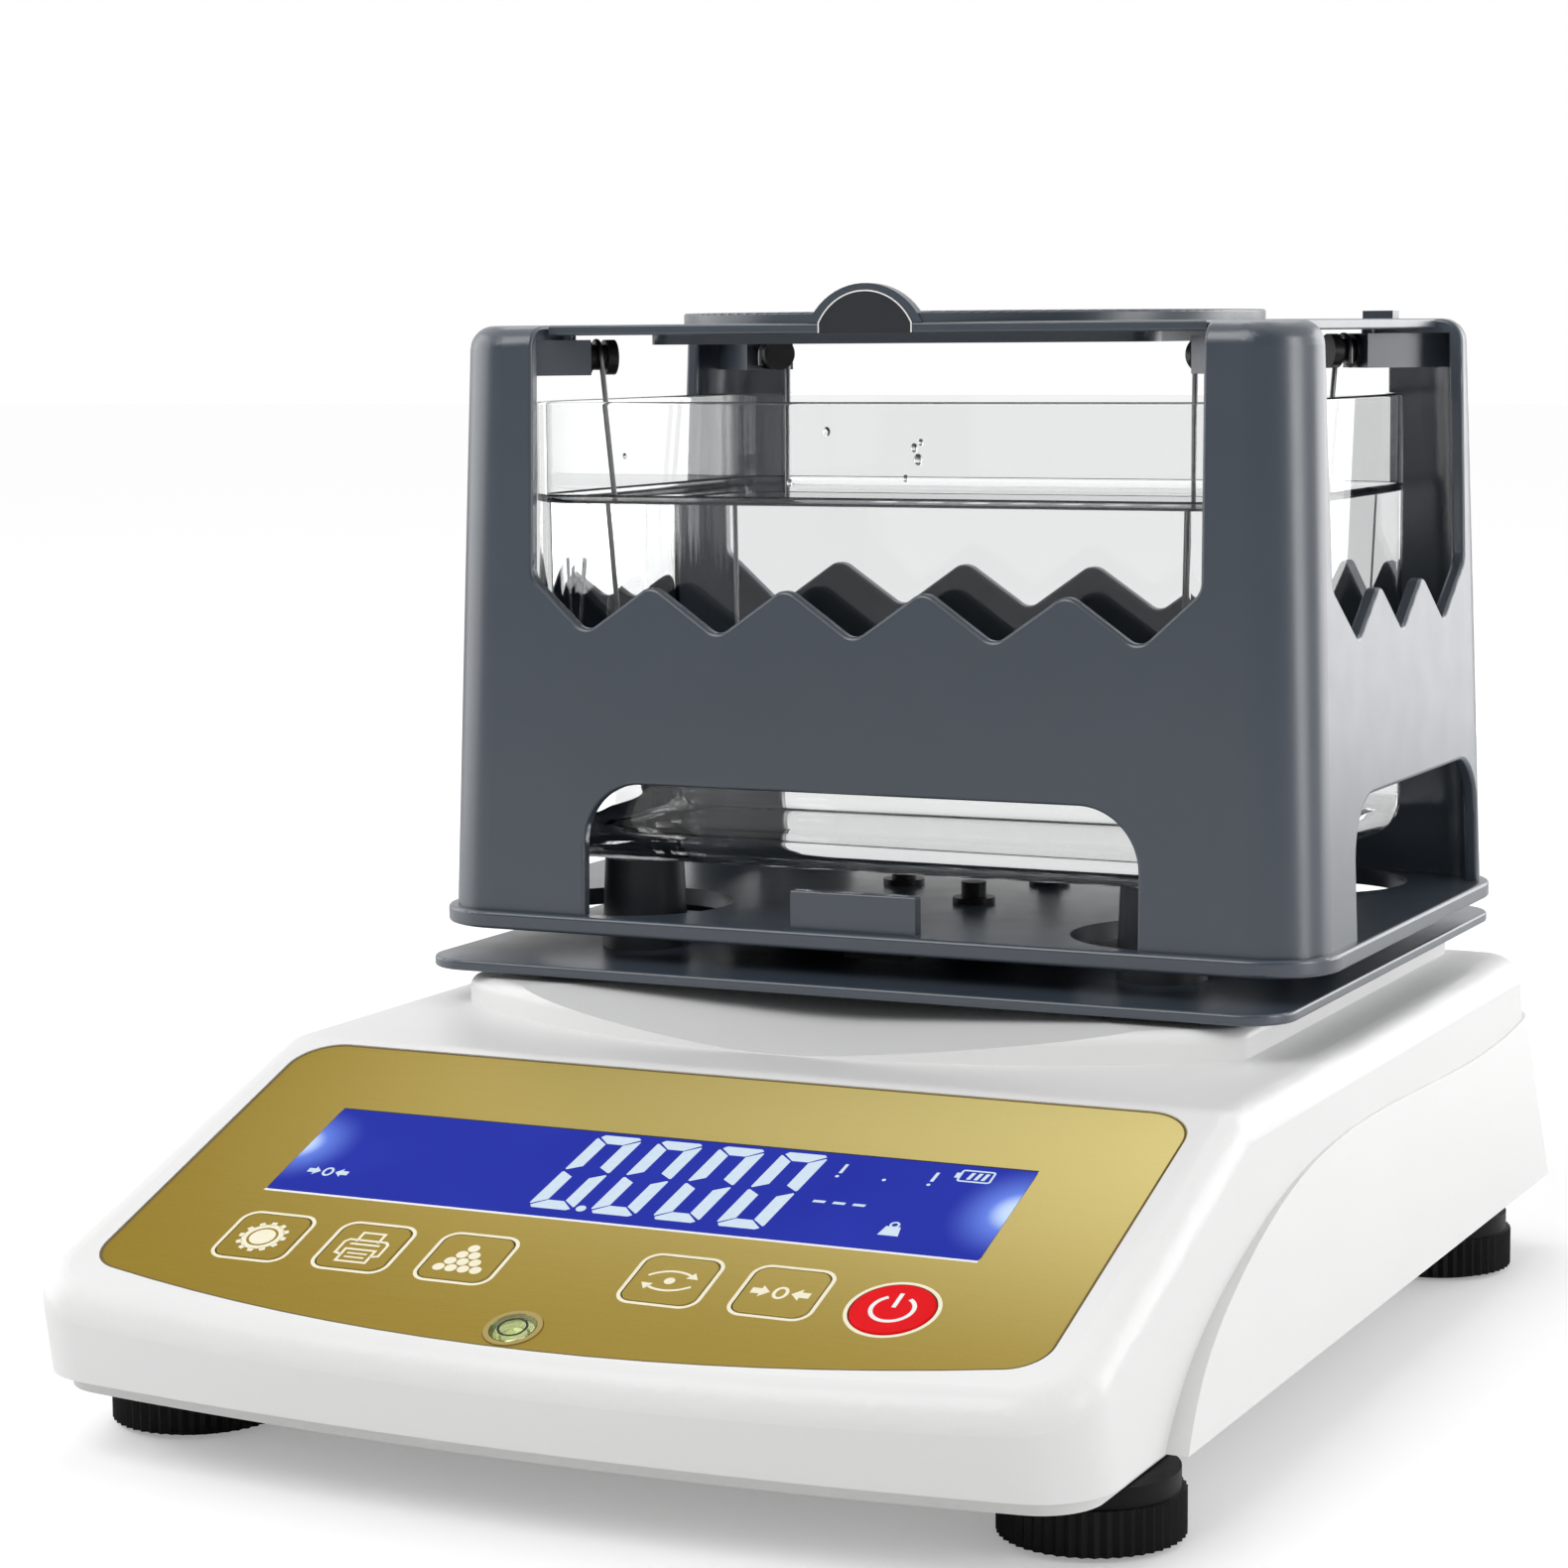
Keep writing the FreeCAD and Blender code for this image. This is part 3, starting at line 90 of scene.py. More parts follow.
class Wire:
    """One socket in a shader's tree, which can be used in sums like a number."""

    def __init__(self, tree, socket=None):
        self.tree = tree
        self.socket = socket

    def node(self, kind, settings=None, inputs=None, out=0):
        """Add a node: its settings first, then the values or links of its sockets."""
        made = self.tree.nodes.new(kind)
        for name, value in (settings or {}).items():
            setattr(made, name, value)
        for name, value in (inputs or {}).items():
            if isinstance(value, Wire):
                self.tree.links.new(value.socket, made.inputs[name])
            else:
                made.inputs[name].default_value = value
        return Wire(self.tree, made.outputs[out])

    def maths(self, operation, first, second=0.0):
        return self.node("ShaderNodeMath", {"operation": operation}, {0: first, 1: second})

    def __add__(self, other):
        return self.maths("ADD", self, other)

    def __sub__(self, other):
        return self.maths("SUBTRACT", self, other)

    def __rsub__(self, other):
        return self.maths("SUBTRACT", other, self)

    def __mul__(self, other):
        return self.maths("MULTIPLY", self, other)

    def __truediv__(self, other):
        return self.maths("DIVIDE", self, other)

    def between(self, low, high):
        """0 below low, 1 above high, smooth in between."""
        return self.node("ShaderNodeMapRange", {"interpolation_type": "SMOOTHSTEP"},
                         {"Value": self, "From Min": low, "From Max": high})

    def mix(self, low, high):
        """Colour that goes from low to high as this wire goes from 0 to 1."""
        low, high = (c if isinstance(c, Wire) else (*c, 1) for c in (low, high))
        return self.node("ShaderNodeMix", {"data_type": "RGBA"}, {0: self, 6: low, 7: high}, out=2)


def place_of(start):
    """Where on the object, in metres."""
    return start.node("ShaderNodeTexCoord", out="Object")


def along(place, axis):
    return place.node("ShaderNodeSeparateXYZ", inputs={0: place}, out=axis)


def stretched(place, factors):
    return place.node("ShaderNodeVectorMath", {"operation": "MULTIPLY"}, {0: place, 1: factors})


def clouds(place, size_mm, detail=2.0, roughness=0.5):
    """Noise from 0 to 1 with spots of about this size."""
    return place.node("ShaderNodeTexNoise", inputs={"Vector": place, "Scale": 1 / (size_mm * mm), "Detail": detail,
                                                    "Roughness": roughness})


def bump(height, depth_mm, strength=1.0):
    return height.node("ShaderNodeBump", inputs={"Height": height, "Distance": depth_mm * mm, "Strength": strength},
                       out="Normal")


def finish(name, fixed, paint=None):
    """A material: fixed values on the shader's own sockets, and what paint() says varies over the surface."""
    material = bpy.data.materials.new(name)
    material.use_nodes = True
    tree = material.node_tree
    shader = tree.nodes["Principled BSDF"]
    for socket, value in fixed.items():
        shader.inputs[socket].default_value = value
    start = Wire(tree)
    for socket, wire in (paint(start) if paint else {}).items():
        tree.links.new(wire.socket, shader.inputs[socket])
    finishes[name] = material
    return material


finishes = {}
print("the wire class is ready")

# %% [markdown]
# ## Studio: floor, sky and soft boxes
# Product pictures like this one are lit by large soft boxes and cut out on white. The floor and the sky are
# plain white where the camera and clear plastic see them, and the lamps only shape the object. Gloss sees a real
# studio too: white walls behind and beside the object, and a dim room on the side where people stand. That dim
# side is what keeps the front of the grey frame deep while its sides shine.

# %% Sky
sky = bpy.data.worlds.new("sky")
bpy.context.scene.world = sky
sky.use_nodes = True
sky_tree = sky.node_tree
sky_start = Wire(sky_tree)
light_path = "ShaderNodeLightPath"
sky_level, dim_side = 0.45, 0.12
dim_until, bright_from = -0.6, 0.1


def seen_straight(start):
    """1 for rays from the camera, and for those that clear plastic sends on."""
    return start.maths("MAXIMUM", start.node(light_path, out="Is Camera Ray"),
                       start.node(light_path, out="Is Transmission Ray"))


toward_back = along(sky_start.node("ShaderNodeTexCoord", out="Generated"), "Y").between(dim_until, bright_from)
in_gloss = sky_start.node(light_path, out="Is Glossy Ray")
gloss_level = toward_back * (1 - dim_side) + dim_side
around = in_gloss * gloss_level + (1 - in_gloss) * sky_level
straight = seen_straight(sky_start)
strength = straight + (1 - straight) * around
sky_shader = sky_tree.nodes["Background"]
sky_shader.inputs["Color"].default_value = (1, 1, 1, 1)
sky_tree.links.new(strength.socket, sky_shader.inputs["Strength"])
bpy.context.scene.view_settings.view_transform = "Standard"
print("sky level", sky_level)

# %% Floor
floor_tone = (0.80, 0.80, 0.80)
floor_lift_near, floor_lift_far = 0.28, 0.62
floor_fade = (0.35, 1.3)
floor_half = 9.0
floor_drop = 0.1     # in millimetres, so that the feet's undersides don't fight with the floor
floor_mesh = bpy.data.meshes.new("studio_floor")
floor_mesh.from_pydata([(-floor_half, -floor_half, 0), (floor_half, -floor_half, 0), (floor_half, floor_half, 0),
                        (-floor_half, floor_half, 0)], [], [(0, 1, 2, 3)])
studio_floor = bpy.data.objects.new("studio_floor", floor_mesh)
studio_floor.location.z = -floor_drop * mm
bpy.context.scene.collection.objects.link(studio_floor)


def floor_paint(start):
    """The lift grows to full white with the distance, so that no horizon shows."""
    place = place_of(start)
    distance = place.node("ShaderNodeVectorMath", {"operation": "LENGTH"}, {0: place}, out="Value")
    lift = distance.between(*floor_fade).mix((floor_lift_near,) * 3, (floor_lift_far,) * 3)
    return {"Emission Color": seen_straight(start).mix((0, 0, 0), lift)}


floor_finish = finish("studio_white", {"Base Color": (*floor_tone, 1), "Roughness": 0.9, "Specular IOR Level": 0.0,
                                       "Emission Strength": 1.0}, floor_paint)
floor_mesh.materials.append(floor_finish)

# %% Soft boxes


def soft_box(name, place, aim, width, height, watts):
    lamp = bpy.data.lights.new(name, "AREA")
    lamp.shape = "RECTANGLE"
    lamp.size, lamp.size_y, lamp.energy = width, height, watts
    box = bpy.data.objects.new(name, lamp)
    box.location = place
    box.rotation_euler = (Vector(aim) - Vector(place)).to_track_quat("-Z", "Y").to_euler()
    box.visible_camera = False
    bpy.context.scene.collection.objects.link(box)


heart = (0.0, 0.04, 0.11)     # the point that all of them face
soft_boxes = {     # place, width and height in metres, then watts
    "box_right": ((1.1, -0.1, 0.35), 0.4, 0.8, 3.8),
    "box_rear_right": ((0.66, 1.03, 0.3), 0.9, 0.8, 6.4),
    "box_left": ((-1.05, -0.02, 0.38), 1.0, 0.9, 4.2),
    "box_above": ((-0.25, 0.75, 1.15), 1.0, 0.7, 3.8),
    "box_front": ((-0.45, -0.95, 1.25), 1.1, 0.9, 11.2),
}
for box_name, (box_place, box_width, box_height, watts) in soft_boxes.items():
    soft_box(box_name, box_place, heart, box_width, box_height, watts)
print("soft boxes:", ", ".join(soft_boxes))

# %% [markdown]
# ## Moulded plastics
# Most of the tester is moulded. The case is glossy white, its underside and the door are matt, and the weighing
# frame is a satin slate grey. Real mouldings are never one flat colour: the tone drifts a little over a few
# centimetres, the gloss is uneven, and a fine grain from the mould breaks up the highlights. One painter makes
# all of them from two tones, two roughnesses and a grain size.

# %% Painter for mouldings


def moulded(tones, roughs, grain_mm, grain_depth_mm, drift_mm=45):
    def paint(start):
        place = place_of(start)
        drift = clouds(place, drift_mm, 3)
        grain = clouds(place, grain_mm, 4, 0.6)
        patchy = clouds(place, drift_mm / 5, 3)
        return {"Base Color": drift.mix(*tones), "Roughness": patchy * (roughs[1] - roughs[0]) + roughs[0],
                "Normal": bump(grain, grain_depth_mm)}
    return paint


finish("case_white", {"Specular IOR Level": 0.3},
       moulded([(0.79, 0.79, 0.785), (0.825, 0.825, 0.82)], (0.26, 0.36), 2.4, 0.006))
finish("base_white", {}, moulded([(0.66, 0.66, 0.65), (0.72, 0.72, 0.71)], (0.5, 0.62), 0.5, 0.02))
finish("frame_grey", {"Specular IOR Level": 1.0},
       moulded([(0.040, 0.053, 0.072), (0.050, 0.065, 0.086)], (0.26, 0.34), 0.45, 0.008))
finish("post_dark", {"Specular IOR Level": 0.3},
       moulded([(0.02, 0.023, 0.028), (0.032, 0.036, 0.042)], (0.4, 0.5), 0.5, 0.012, 12))
finish("peg_black", {"Specular IOR Level": 0.25},
       moulded([(0.010, 0.010, 0.011), (0.018, 0.018, 0.02)], (0.3, 0.42), 0.4, 0.01, 8))
finish("foot_black", {"Specular IOR Level": 0.15},
       moulded([(0.004, 0.004, 0.0045), (0.009, 0.009, 0.010)], (0.36, 0.5), 0.5, 0.015, 15))
finish("pad_rubber", {"Specular IOR Level": 0.35},
       moulded([(0.010, 0.010, 0.010), (0.018, 0.018, 0.018)], (0.7, 0.82), 0.3, 0.03, 10))
finish("inlet_black", {}, moulded([(0.012, 0.012, 0.012), (0.02, 0.02, 0.02)], (0.38, 0.5), 0.4, 0.01, 6))
finish("battery_dark", {}, moulded([(0.014, 0.014, 0.016), (0.026, 0.026, 0.03)], (0.3, 0.45), 0.6, 0.01, 20))
finish("basket_grey", {}, moulded([(0.075, 0.09, 0.11), (0.1, 0.115, 0.135)], (0.4, 0.5), 0.5, 0.012, 20))
# This black is the printed level ring, and also the painted shadow line along the display's top edge.
finish("black_print_and_painted_shadow", {"Specular IOR Level": 0.2},
       moulded([(0.010, 0.012, 0.004), (0.022, 0.024, 0.010)], (0.4, 0.5), 0.4, 0.004, 3))
print("mouldings:", ", ".join(finishes))

# %% [markdown]
# ## Metals
# The load cell and the bridge on it are milled aluminium, the screws and the socket's shell are plated steel, and
# four thin steel wires carry the basket. Milling and drawing leave fine lines in one direction, so the noise is
# stretched a lot along that direction before it changes the roughness and the bump.

# %% Painter for metals


def drawn(tones, roughs, stretch, line_depth_mm):
    def paint(start):
        place = place_of(start)
        lines = clouds(stretched(place, stretch), 1.0, 3)
        stain = clouds(place, 14, 3)
        return {"Base Color": stain.mix(*tones), "Roughness": lines * (roughs[1] - roughs[0]) + roughs[0],
                "Normal": bump(lines, line_depth_mm)}
    return paint


metals = {     # metallic, two tones, two roughnesses, stretch of the lines, depth of the lines in millimetres
    "cell_aluminium": (1.0, [(0.62, 0.63, 0.64), (0.72, 0.73, 0.74)], (0.26, 0.44), (0.05, 3, 3), 0.01),
    "screw_steel": (1.0, [(0.45, 0.45, 0.44), (0.58, 0.58, 0.57)], (0.22, 0.4), (2, 2, 0.3), 0.008),
    "port_metal": (1.0, [(0.55, 0.55, 0.54), (0.66, 0.66, 0.65)], (0.2, 0.36), (0.3, 2, 2), 0.008),
    "wire_steel": (1.0, [(0.14, 0.14, 0.145), (0.22, 0.22, 0.225)], (0.24, 0.4), (3, 3, 0.1), 0.01),
    # The spider's near-black finish is painted shade: it stands for the shadow between the plates, where its aluminium
    # would show lit.
    "spider_painted_shade": (0.6, [(0.012, 0.013, 0.015), (0.02, 0.021, 0.024)], (0.4, 0.5), (0.05, 3, 3), 0.008),
}
for metal_name, (metallic, tones, roughs, stretch, line_depth) in metals.items():
    finish(metal_name, {"Metallic": metallic}, drawn(tones, roughs, stretch, line_depth))
print("metals:", ", ".join(metals))

# %% [markdown]
# ## Circuit boards
# Two green boards sit inside, under the panel and over the base. Under the solder mask run copper tracks, which
# show as slightly lighter lines. A brick pattern with thin joints looks like such tracks and needs no picture.

# %% Boards


def board_paint(start):
    place = place_of(start)
    tracks = start.node("ShaderNodeTexBrick", {"offset": 0.35}, {"Vector": place, "Scale": 160.0, "Mortar Size": 0.06,
                                                                "Color1": (0, 0, 0, 1), "Color2": (0, 0, 0, 1),
                                                                "Mortar": (1, 1, 1, 1)}, out="Fac")
    tone = clouds(place, 9, 2)
    green = tone.mix((0.008, 0.075, 0.028), (0.014, 0.11, 0.04))
    return {"Base Color": tracks.mix(green, (0.035, 0.2, 0.075)), "Roughness": tone * 0.15 + 0.25,
            "Normal": bump(tracks, 0.03)}


finish("board_green", {"Coat Weight": 0.3, "Coat Roughness": 0.2}, board_paint)
print("boards done")

# %% [markdown]
# ## Gold panel and keys
# The panel is a polyester sheet with a satin gold ink printed on its back, and the keys wear the same sheet. The
# ink has a faint sideways brush. Its colour is painted darker at the lower left and lighter to the right and up the
# sheet: a painted shading of how the light falls, not a change in the ink. It is a dielectric over tiny metal flakes,
# so it is modelled as a fairly rough, partly metallic surface rather than as a mirror.

# %% Gold
panel_half, panel_low_y, panel_height = 91.5, -139.4, 89.5
# The two gold tones below are the ends of a painted shading: the gold as if in shade and as if lit.
gold_painted_dark = (0.265, 0.180, 0.022)
gold_painted_lit = (0.86, 0.73, 0.30)
slope_angle = math.radians(19.5)
slope_top_y, slope_top_z = -50.3, 63.4


def slope_y(v):
    """How far back a point of the slope lies, in metres, where v is millimetres up the slope."""
    return (slope_top_y + v * math.cos(slope_angle)) * mm


def gold_paint(start):
    place = place_of(start)
    to_right = along(place, "X") / (panel_half * mm) * 0.5 + 0.5
    up_sheet = (along(place, "Y") - panel_low_y * mm) / (panel_height * mm * math.cos(slope_angle))
    # shade is a painted shading: darker to the lower left and lighter to the right and up the sheet, as the light
    # falls.
    shade = (to_right * 0.92 + 0.06) * (up_sheet.between(0.0, 1.05) * 0.85 + 0.12)
    brush = clouds(stretched(place, (0.08, 4, 4)), 1.0, 3)
    flakes = clouds(place, 0.35, 1)
    return {"Base Color": (shade + (brush - 0.5) * 0.08 + (flakes - 0.5) * 0.06).mix(gold_painted_dark, gold_painted_lit),
            "Roughness": brush * 0.08 + 0.42, "Normal": bump(flakes, 0.004)}


gold_edge = (0.85, 0.72, 0.35, 1)
finish("panel_gold", {"Metallic": 0.35, "IOR": 1.15, "Specular Tint": gold_edge}, gold_paint)
finish("key_gold", {"Metallic": 0.35, "IOR": 1.15, "Specular Tint": gold_edge}, gold_paint)
finish("key_red", {"IOR": 1.12},
       moulded([(0.70, 0.002, 0.006), (0.82, 0.006, 0.010)], (0.3, 0.4), 1.2, 0.006, 6))
finish("print_cream", {"Specular IOR Level": 0.2},
       moulded([(0.86, 0.80, 0.58), (0.93, 0.88, 0.70)], (0.4, 0.5), 0.3, 0.005, 5))
# This bronze is the painted shadow line round the gold sheet's edge.
finish("bronze_painted_shadow", {"Specular IOR Level": 0.2},
       moulded([(0.11, 0.075, 0.02), (0.16, 0.11, 0.03)], (0.4, 0.5), 0.4, 0.004, 9))
# This white is the printed power sign, and also the painted highlights under the display and round the grip.
finish("white_print_and_painted_highlight", {}, moulded([(0.84, 0.84, 0.83), (0.9, 0.9, 0.89)], (0.35, 0.45), 0.3, 0.004, 5))
print("gold, red and print inks done")

# %% [markdown]
# ## Level cup
# The bubble level sits in a small olive cup near the panel's front edge. The cup's flange is as gold as the sheet
# round it. One finish does both: the distance from the cup's middle, measured along the sheet, picks the colour.

# %% Level cup finish
level_u, level_v = -1.7, -87.6
cup_r, flange_from = 4.0, 4.3


def length_of(across, up):
    """The length of a step that goes across and up."""
    squares = across * across + up * up
    return squares.maths("SQRT", squares)


def cup_paint(start):
    place = place_of(start)
    across = along(place, "X") - level_u * mm
    up = (along(place, "Y") - slope_y(level_v)) / math.cos(slope_angle)
    olive = clouds(place, 6, 3).mix((0.15, 0.18, 0.02), (0.26, 0.29, 0.04))
    on_flange = length_of(across, up).between(cup_r * mm, flange_from * mm)
    return {"Base Color": on_flange.mix(olive, (0.36, 0.26, 0.05)), "Roughness": clouds(place, 1.2, 3) * 0.1 + 0.3,
            "Normal": bump(clouds(place, 0.4, 4, 0.6), 0.005)}


finish("level_black", {"Specular IOR Level": 0.3}, cup_paint)
print("level cup done")

# %% [markdown]
# ## Lit display
# A negative liquid crystal display: blue light from two lamps at the ends shows through the whole glass, and the
# digits let nearly white light through. The light is strongest at the two ends, where the lamps sit, and fades
# within about 12 mm. It is written as an emission whose colour depends on the distance to the nearer end.

# %% Display finishes
lcd_left, lcd_right = -70.9, 69.5
lamp_v, lamp_reach, right_lamp_reach_v = -38.0, 13, 15
hot_from = 0.62     # where the glow turns nearly white


def glow_at(place, u, reach_u, reach_v):
    """1 at a lamp, fading to 0 at the reach. v runs up the slope, so Y stands in for it."""
    across = (along(place, "X") - u * mm) / (reach_u * mm)
    up = (along(place, "Y") - slope_y(lamp_v)) / (reach_v * mm)
    return 1 - length_of(across, up).between(0.0, 1.0)


def backlight_paint(start):
    place = place_of(start)
    wash = clouds(place, 26, 2)
    deep = wash.mix((0.020, 0.030, 0.34), (0.030, 0.045, 0.42))
    near_left = glow_at(place, lcd_left - 2, lamp_reach, lamp_reach)
    near_right = glow_at(place, lcd_right + 1, lamp_reach, right_lamp_reach_v)
    glow = start.maths("MAXIMUM", near_left, near_right)
    lit = glow.mix(deep, (0.20, 0.33, 1.0))
    hot = glow.between(hot_from, 1.0).mix(lit, (0.62, 0.78, 1.0))
    return {"Emission Color": hot, "Roughness": wash * 0.1 + 0.3}


finish("display_blue", {"Base Color": (0.002, 0.003, 0.02, 1), "Emission Strength": 1.0, "IOR": 1.02},
       backlight_paint)
finish("digit_light", {"Base Color": (0.1, 0.12, 0.15, 1), "Emission Strength": 1.0, "Roughness": 0.4, "IOR": 1.02},
       lambda start: {"Emission Color": clouds(place_of(start), 1.5, 3).mix((0.50, 0.60, 0.70), (0.62, 0.72, 0.80))})
print("display finishes done")

# %% [markdown]
# ## Clear plastics, glass and water
# Clear things bend the light that passes, and in this render lamps can't see round such a bend. So, for shadow
# rays and for light that is already scattered, each clear finish becomes plain tinted air. What the camera sees
# keeps its true bend, and the inside of the tank is lit as it should be.

# %% Clear finishes


def clear_finish(name, fixed, air_tint, paint=None):
    material = finish(name, {"Transmission Weight": 1.0, **fixed}, paint)
    tree = material.node_tree
    start = Wire(tree)
    passing = start.maths("MAXIMUM", start.node(light_path, out="Is Shadow Ray"),
                          start.node(light_path, out="Is Diffuse Ray"))
    air = start.node("ShaderNodeBsdfTransparent", inputs={"Color": (*air_tint, 1)})
    solid = Wire(tree, tree.nodes["Principled BSDF"].outputs[0])
    choice = start.node("ShaderNodeMixShader", inputs={0: passing, 1: solid, 2: air})
    tree.links.new(choice.socket, tree.nodes["Material Output"].inputs["Surface"])


def faint_waves(size_mm, depth_mm):
    return lambda start: {"Normal": bump(clouds(place_of(start), size_mm, 1), depth_mm)}


clear_finish("tank_clear", {"IOR": 1.28, "Roughness": 0.0, "Base Color": (0.905, 0.91, 0.91, 1)},
             (0.86, 0.87, 0.87), faint_waves(60, 0.02))
clear_finish("water_clear", {"IOR": 1.333, "Roughness": 0.0, "Base Color": (0.992, 0.996, 0.998, 1)},
             (0.92, 0.93, 0.93), faint_waves(40, 0.01))
clear_finish("window_clear", {"IOR": 1.05, "Roughness": 0.02, "Base Color": (0.98, 0.985, 1.0, 1)},
             (0.97, 0.97, 1.0), faint_waves(30, 0.004))
clear_finish("level_clear", {"IOR": 1.2, "Roughness": 0.02, "Base Color": (0.93, 0.97, 0.7, 1)},
             (0.92, 0.96, 0.7), faint_waves(12, 0.001))
print("clear finishes done")

# %% [markdown]
# ## Finishes on the CAD pieces
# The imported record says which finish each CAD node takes, by a slot name. The finishes above carry the same
# names, so one loop dresses every node and no piece can be forgotten.

# %% Dress the CAD pieces
slot_of = {part["node"]: part["material_slot"] for part in frame["record"]["subparts"]}
# The weighing spider takes a near-black finish instead of its slot's aluminium, as painted shade between the plates.
own_finish = {"weighing_spider": "spider_painted_shade"}     # a node that doesn't take the finish of its slot
crease_angle = math.radians(30)


def shade_evenly(obj):
    """Shade big flat faces flat and only the roundings between them smooth, so that glass bends light rightly."""
    mesh = obj.data
    if "custom_normal" in mesh.attributes:
        mesh.attributes.remove(mesh.attributes["custom_normal"])
    mesh.polygons.foreach_set("use_smooth", [True] * len(mesh.polygons))
    mesh.set_sharp_from_angle(angle=crease_angle)
    even = obj.modifiers.new("even_shading", "WEIGHTED_NORMAL")
    even.mode = "FACE_AREA"
    even.keep_sharp = True


for node_name, obj in nodes.items():
    obj.data.materials.clear()
    obj.data.materials.append(finishes[own_finish.get(node_name, slot_of[node_name])])
    shade_evenly(obj)
print("dressed", len(slot_of), "nodes")

# %% [markdown]
# ## Drawing flat marks on the slope
# Digits, key pictures and the lines of painted shadow and painted highlight are all thin marks on the sloping panel.
# They are drawn in the slope's own plane, u to the right and v up the slope, in millimetres, as in CAD, and n is the
# height over the plane.
# Each mark is real geometry a few hundredths of a millimetre thick, as a screen print is, so that it has clean
# edges from near by.

# %% The slope's plane
slope_start = Vector((0, slope_top_y, slope_top_z))
up_slope = Vector((0, math.cos(slope_angle), math.sin(slope_angle)))
off_slope = Vector((0, -math.sin(slope_angle), math.cos(slope_angle)))


def on_slope(u, v, n):
    return (slope_start + Vector((u, 0, 0)) + up_slope * v + off_slope * n) * mm


def arc(cu, cv, radius, start, stop, steps=24):
    """Points on an arc, angles in degrees, anticlockwise."""
    turns = [math.radians(start + (stop - start) * k / steps) for k in range(steps + 1)]
    return [(cu + radius * math.cos(t), cv + radius * math.sin(t)) for t in turns]


def disc(cu, cv, radius, steps=32):
    return [arc(cu, cv, radius, 0, 360, steps)[:-1]]


def rounded_box(cu, cv, half_w, half_h, radius):
    points = []
    for su, sv, turn in ((1, 1, 0), (-1, 1, 90), (-1, -1, 180), (1, -1, 270)):
        points += arc(cu + su * (half_w - radius), cv + sv * (half_h - radius), radius, turn, turn + 90, 8)
    return points


def ribbon(path, width, closed=False):
    """A line of constant width along the path, as four-sided pieces with mitred corners."""
    count = len(path)
    sides = []
    for i, (u, v) in enumerate(path):
        before = path[i - 1] if closed or i > 0 else path[i]
        after = path[(i + 1) % count] if closed or i < count - 1 else path[i]
        steps = []
        for a, b in ((before, path[i]), (path[i], after)):
            du, dv = b[0] - a[0], b[1] - a[1]
            length = math.hypot(du, dv)
            if length > 1e-9:
                steps.append((-dv / length, du / length))
        nu, nv = (sum(s[k] for s in steps) / len(steps) for k in (0, 1))
        size = nu * nu + nv * nv
        nu, nv = nu / size * width / 2, nv / size * width / 2
        sides.append(((u + nu, v + nv), (u - nu, v - nv)))
    last = count if closed else count - 1
    return [[sides[i][0], sides[i][1], sides[(i + 1) % count][1], sides[(i + 1) % count][0]] for i in range(last)]


weld = 0.001 * mm     # corners nearer than this become one


def mark(name, shapes, n, thickness, finish_name, body, place=on_slope, away=off_slope):
    """Flat shapes on the slope, or on the plane that place and away give, raised by a thickness, as one piece."""
    made = bmesh.new()
    for shape in shapes:
        corners = [made.verts.new(place(u, v, n)) for u, v in shape]
        made.faces.new(corners)
    bmesh.ops.remove_doubles(made, verts=made.verts, dist=weld)
    for face in made.faces:
        if face.normal.dot(away) < 0:
            face.normal_flip()
    lifted = bmesh.ops.extrude_face_region(made, geom=list(made.faces))
    moved = [item for item in lifted["geom"] if isinstance(item, bmesh.types.BMVert)]
    bmesh.ops.translate(made, verts=moved, vec=away * thickness * mm)
    bmesh.ops.recalc_face_normals(made, faces=made.faces)
    add_piece(name, made, finish_name, body)


def add_piece(name, made, finish_name, body, smooth=False):
    """Turn a bmesh into a named piece with a finish, riding on a body."""
    mesh = bpy.data.meshes.new(name)
    made.to_mesh(mesh)
    made.free()
    if smooth:
        mesh.polygons.foreach_set("use_smooth", [True] * len(mesh.polygons))
    mesh.materials.append(finishes[finish_name])
    piece = bpy.data.objects.new(name, mesh)
    bpy.context.scene.collection.objects.link(piece)
    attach(piece, body)


print("slope plane ready; its top front edge is at", [round(c, 4) for c in on_slope(0, 0, 0)])

# %% [markdown]
# ## Painted shadow round the panel
# A thin dark bronze line runs round the gold sheet, a little inside its edge: a painted shadow along the sheet's sunk
# edge.
# The sheet's outline is straight at the top and sides and a shallow arc below, so the line follows the same arcs, drawn
# in by a third of a millimetre.

# %% Painted shadow round the panel
sheet_low_v, sheet_side_v, sheet_top_v = -93.5, -82.0, -2.0
sheet_top_r, sheet_low_r = 9.0, 8.0
sheet_top_n = -0.2
border_inset, border_line = 0.28, 0.42
ink = 0.03


def sheet_outline(inset):
    sag = sheet_side_v - sheet_low_v
    big_r = (sag * sag + panel_half * panel_half) / (2 * sag)
    big_v = sheet_low_v + big_r
    corner_u = panel_half - sheet_low_r
    corner_v = big_v - math.sqrt((big_r - sheet_low_r) ** 2 - corner_u ** 2)
    tilt = math.degrees(math.atan2(corner_v - big_v, corner_u))
    top_u, top_v = panel_half - sheet_top_r, sheet_top_v - sheet_top_r
    return (arc(top_u, top_v, sheet_top_r - inset, 0, 90, 12) + arc(-top_u, top_v, sheet_top_r - inset, 90, 180, 12)
            + arc(-corner_u, corner_v, sheet_low_r - inset, 180, 360 + (-180 - tilt), 12)
            + arc(0, big_v, big_r - inset, -180 - tilt, tilt, 40)[1:-1]
            + arc(corner_u, corner_v, sheet_low_r - inset, tilt, 0, 12))


border = sheet_outline(border_inset)
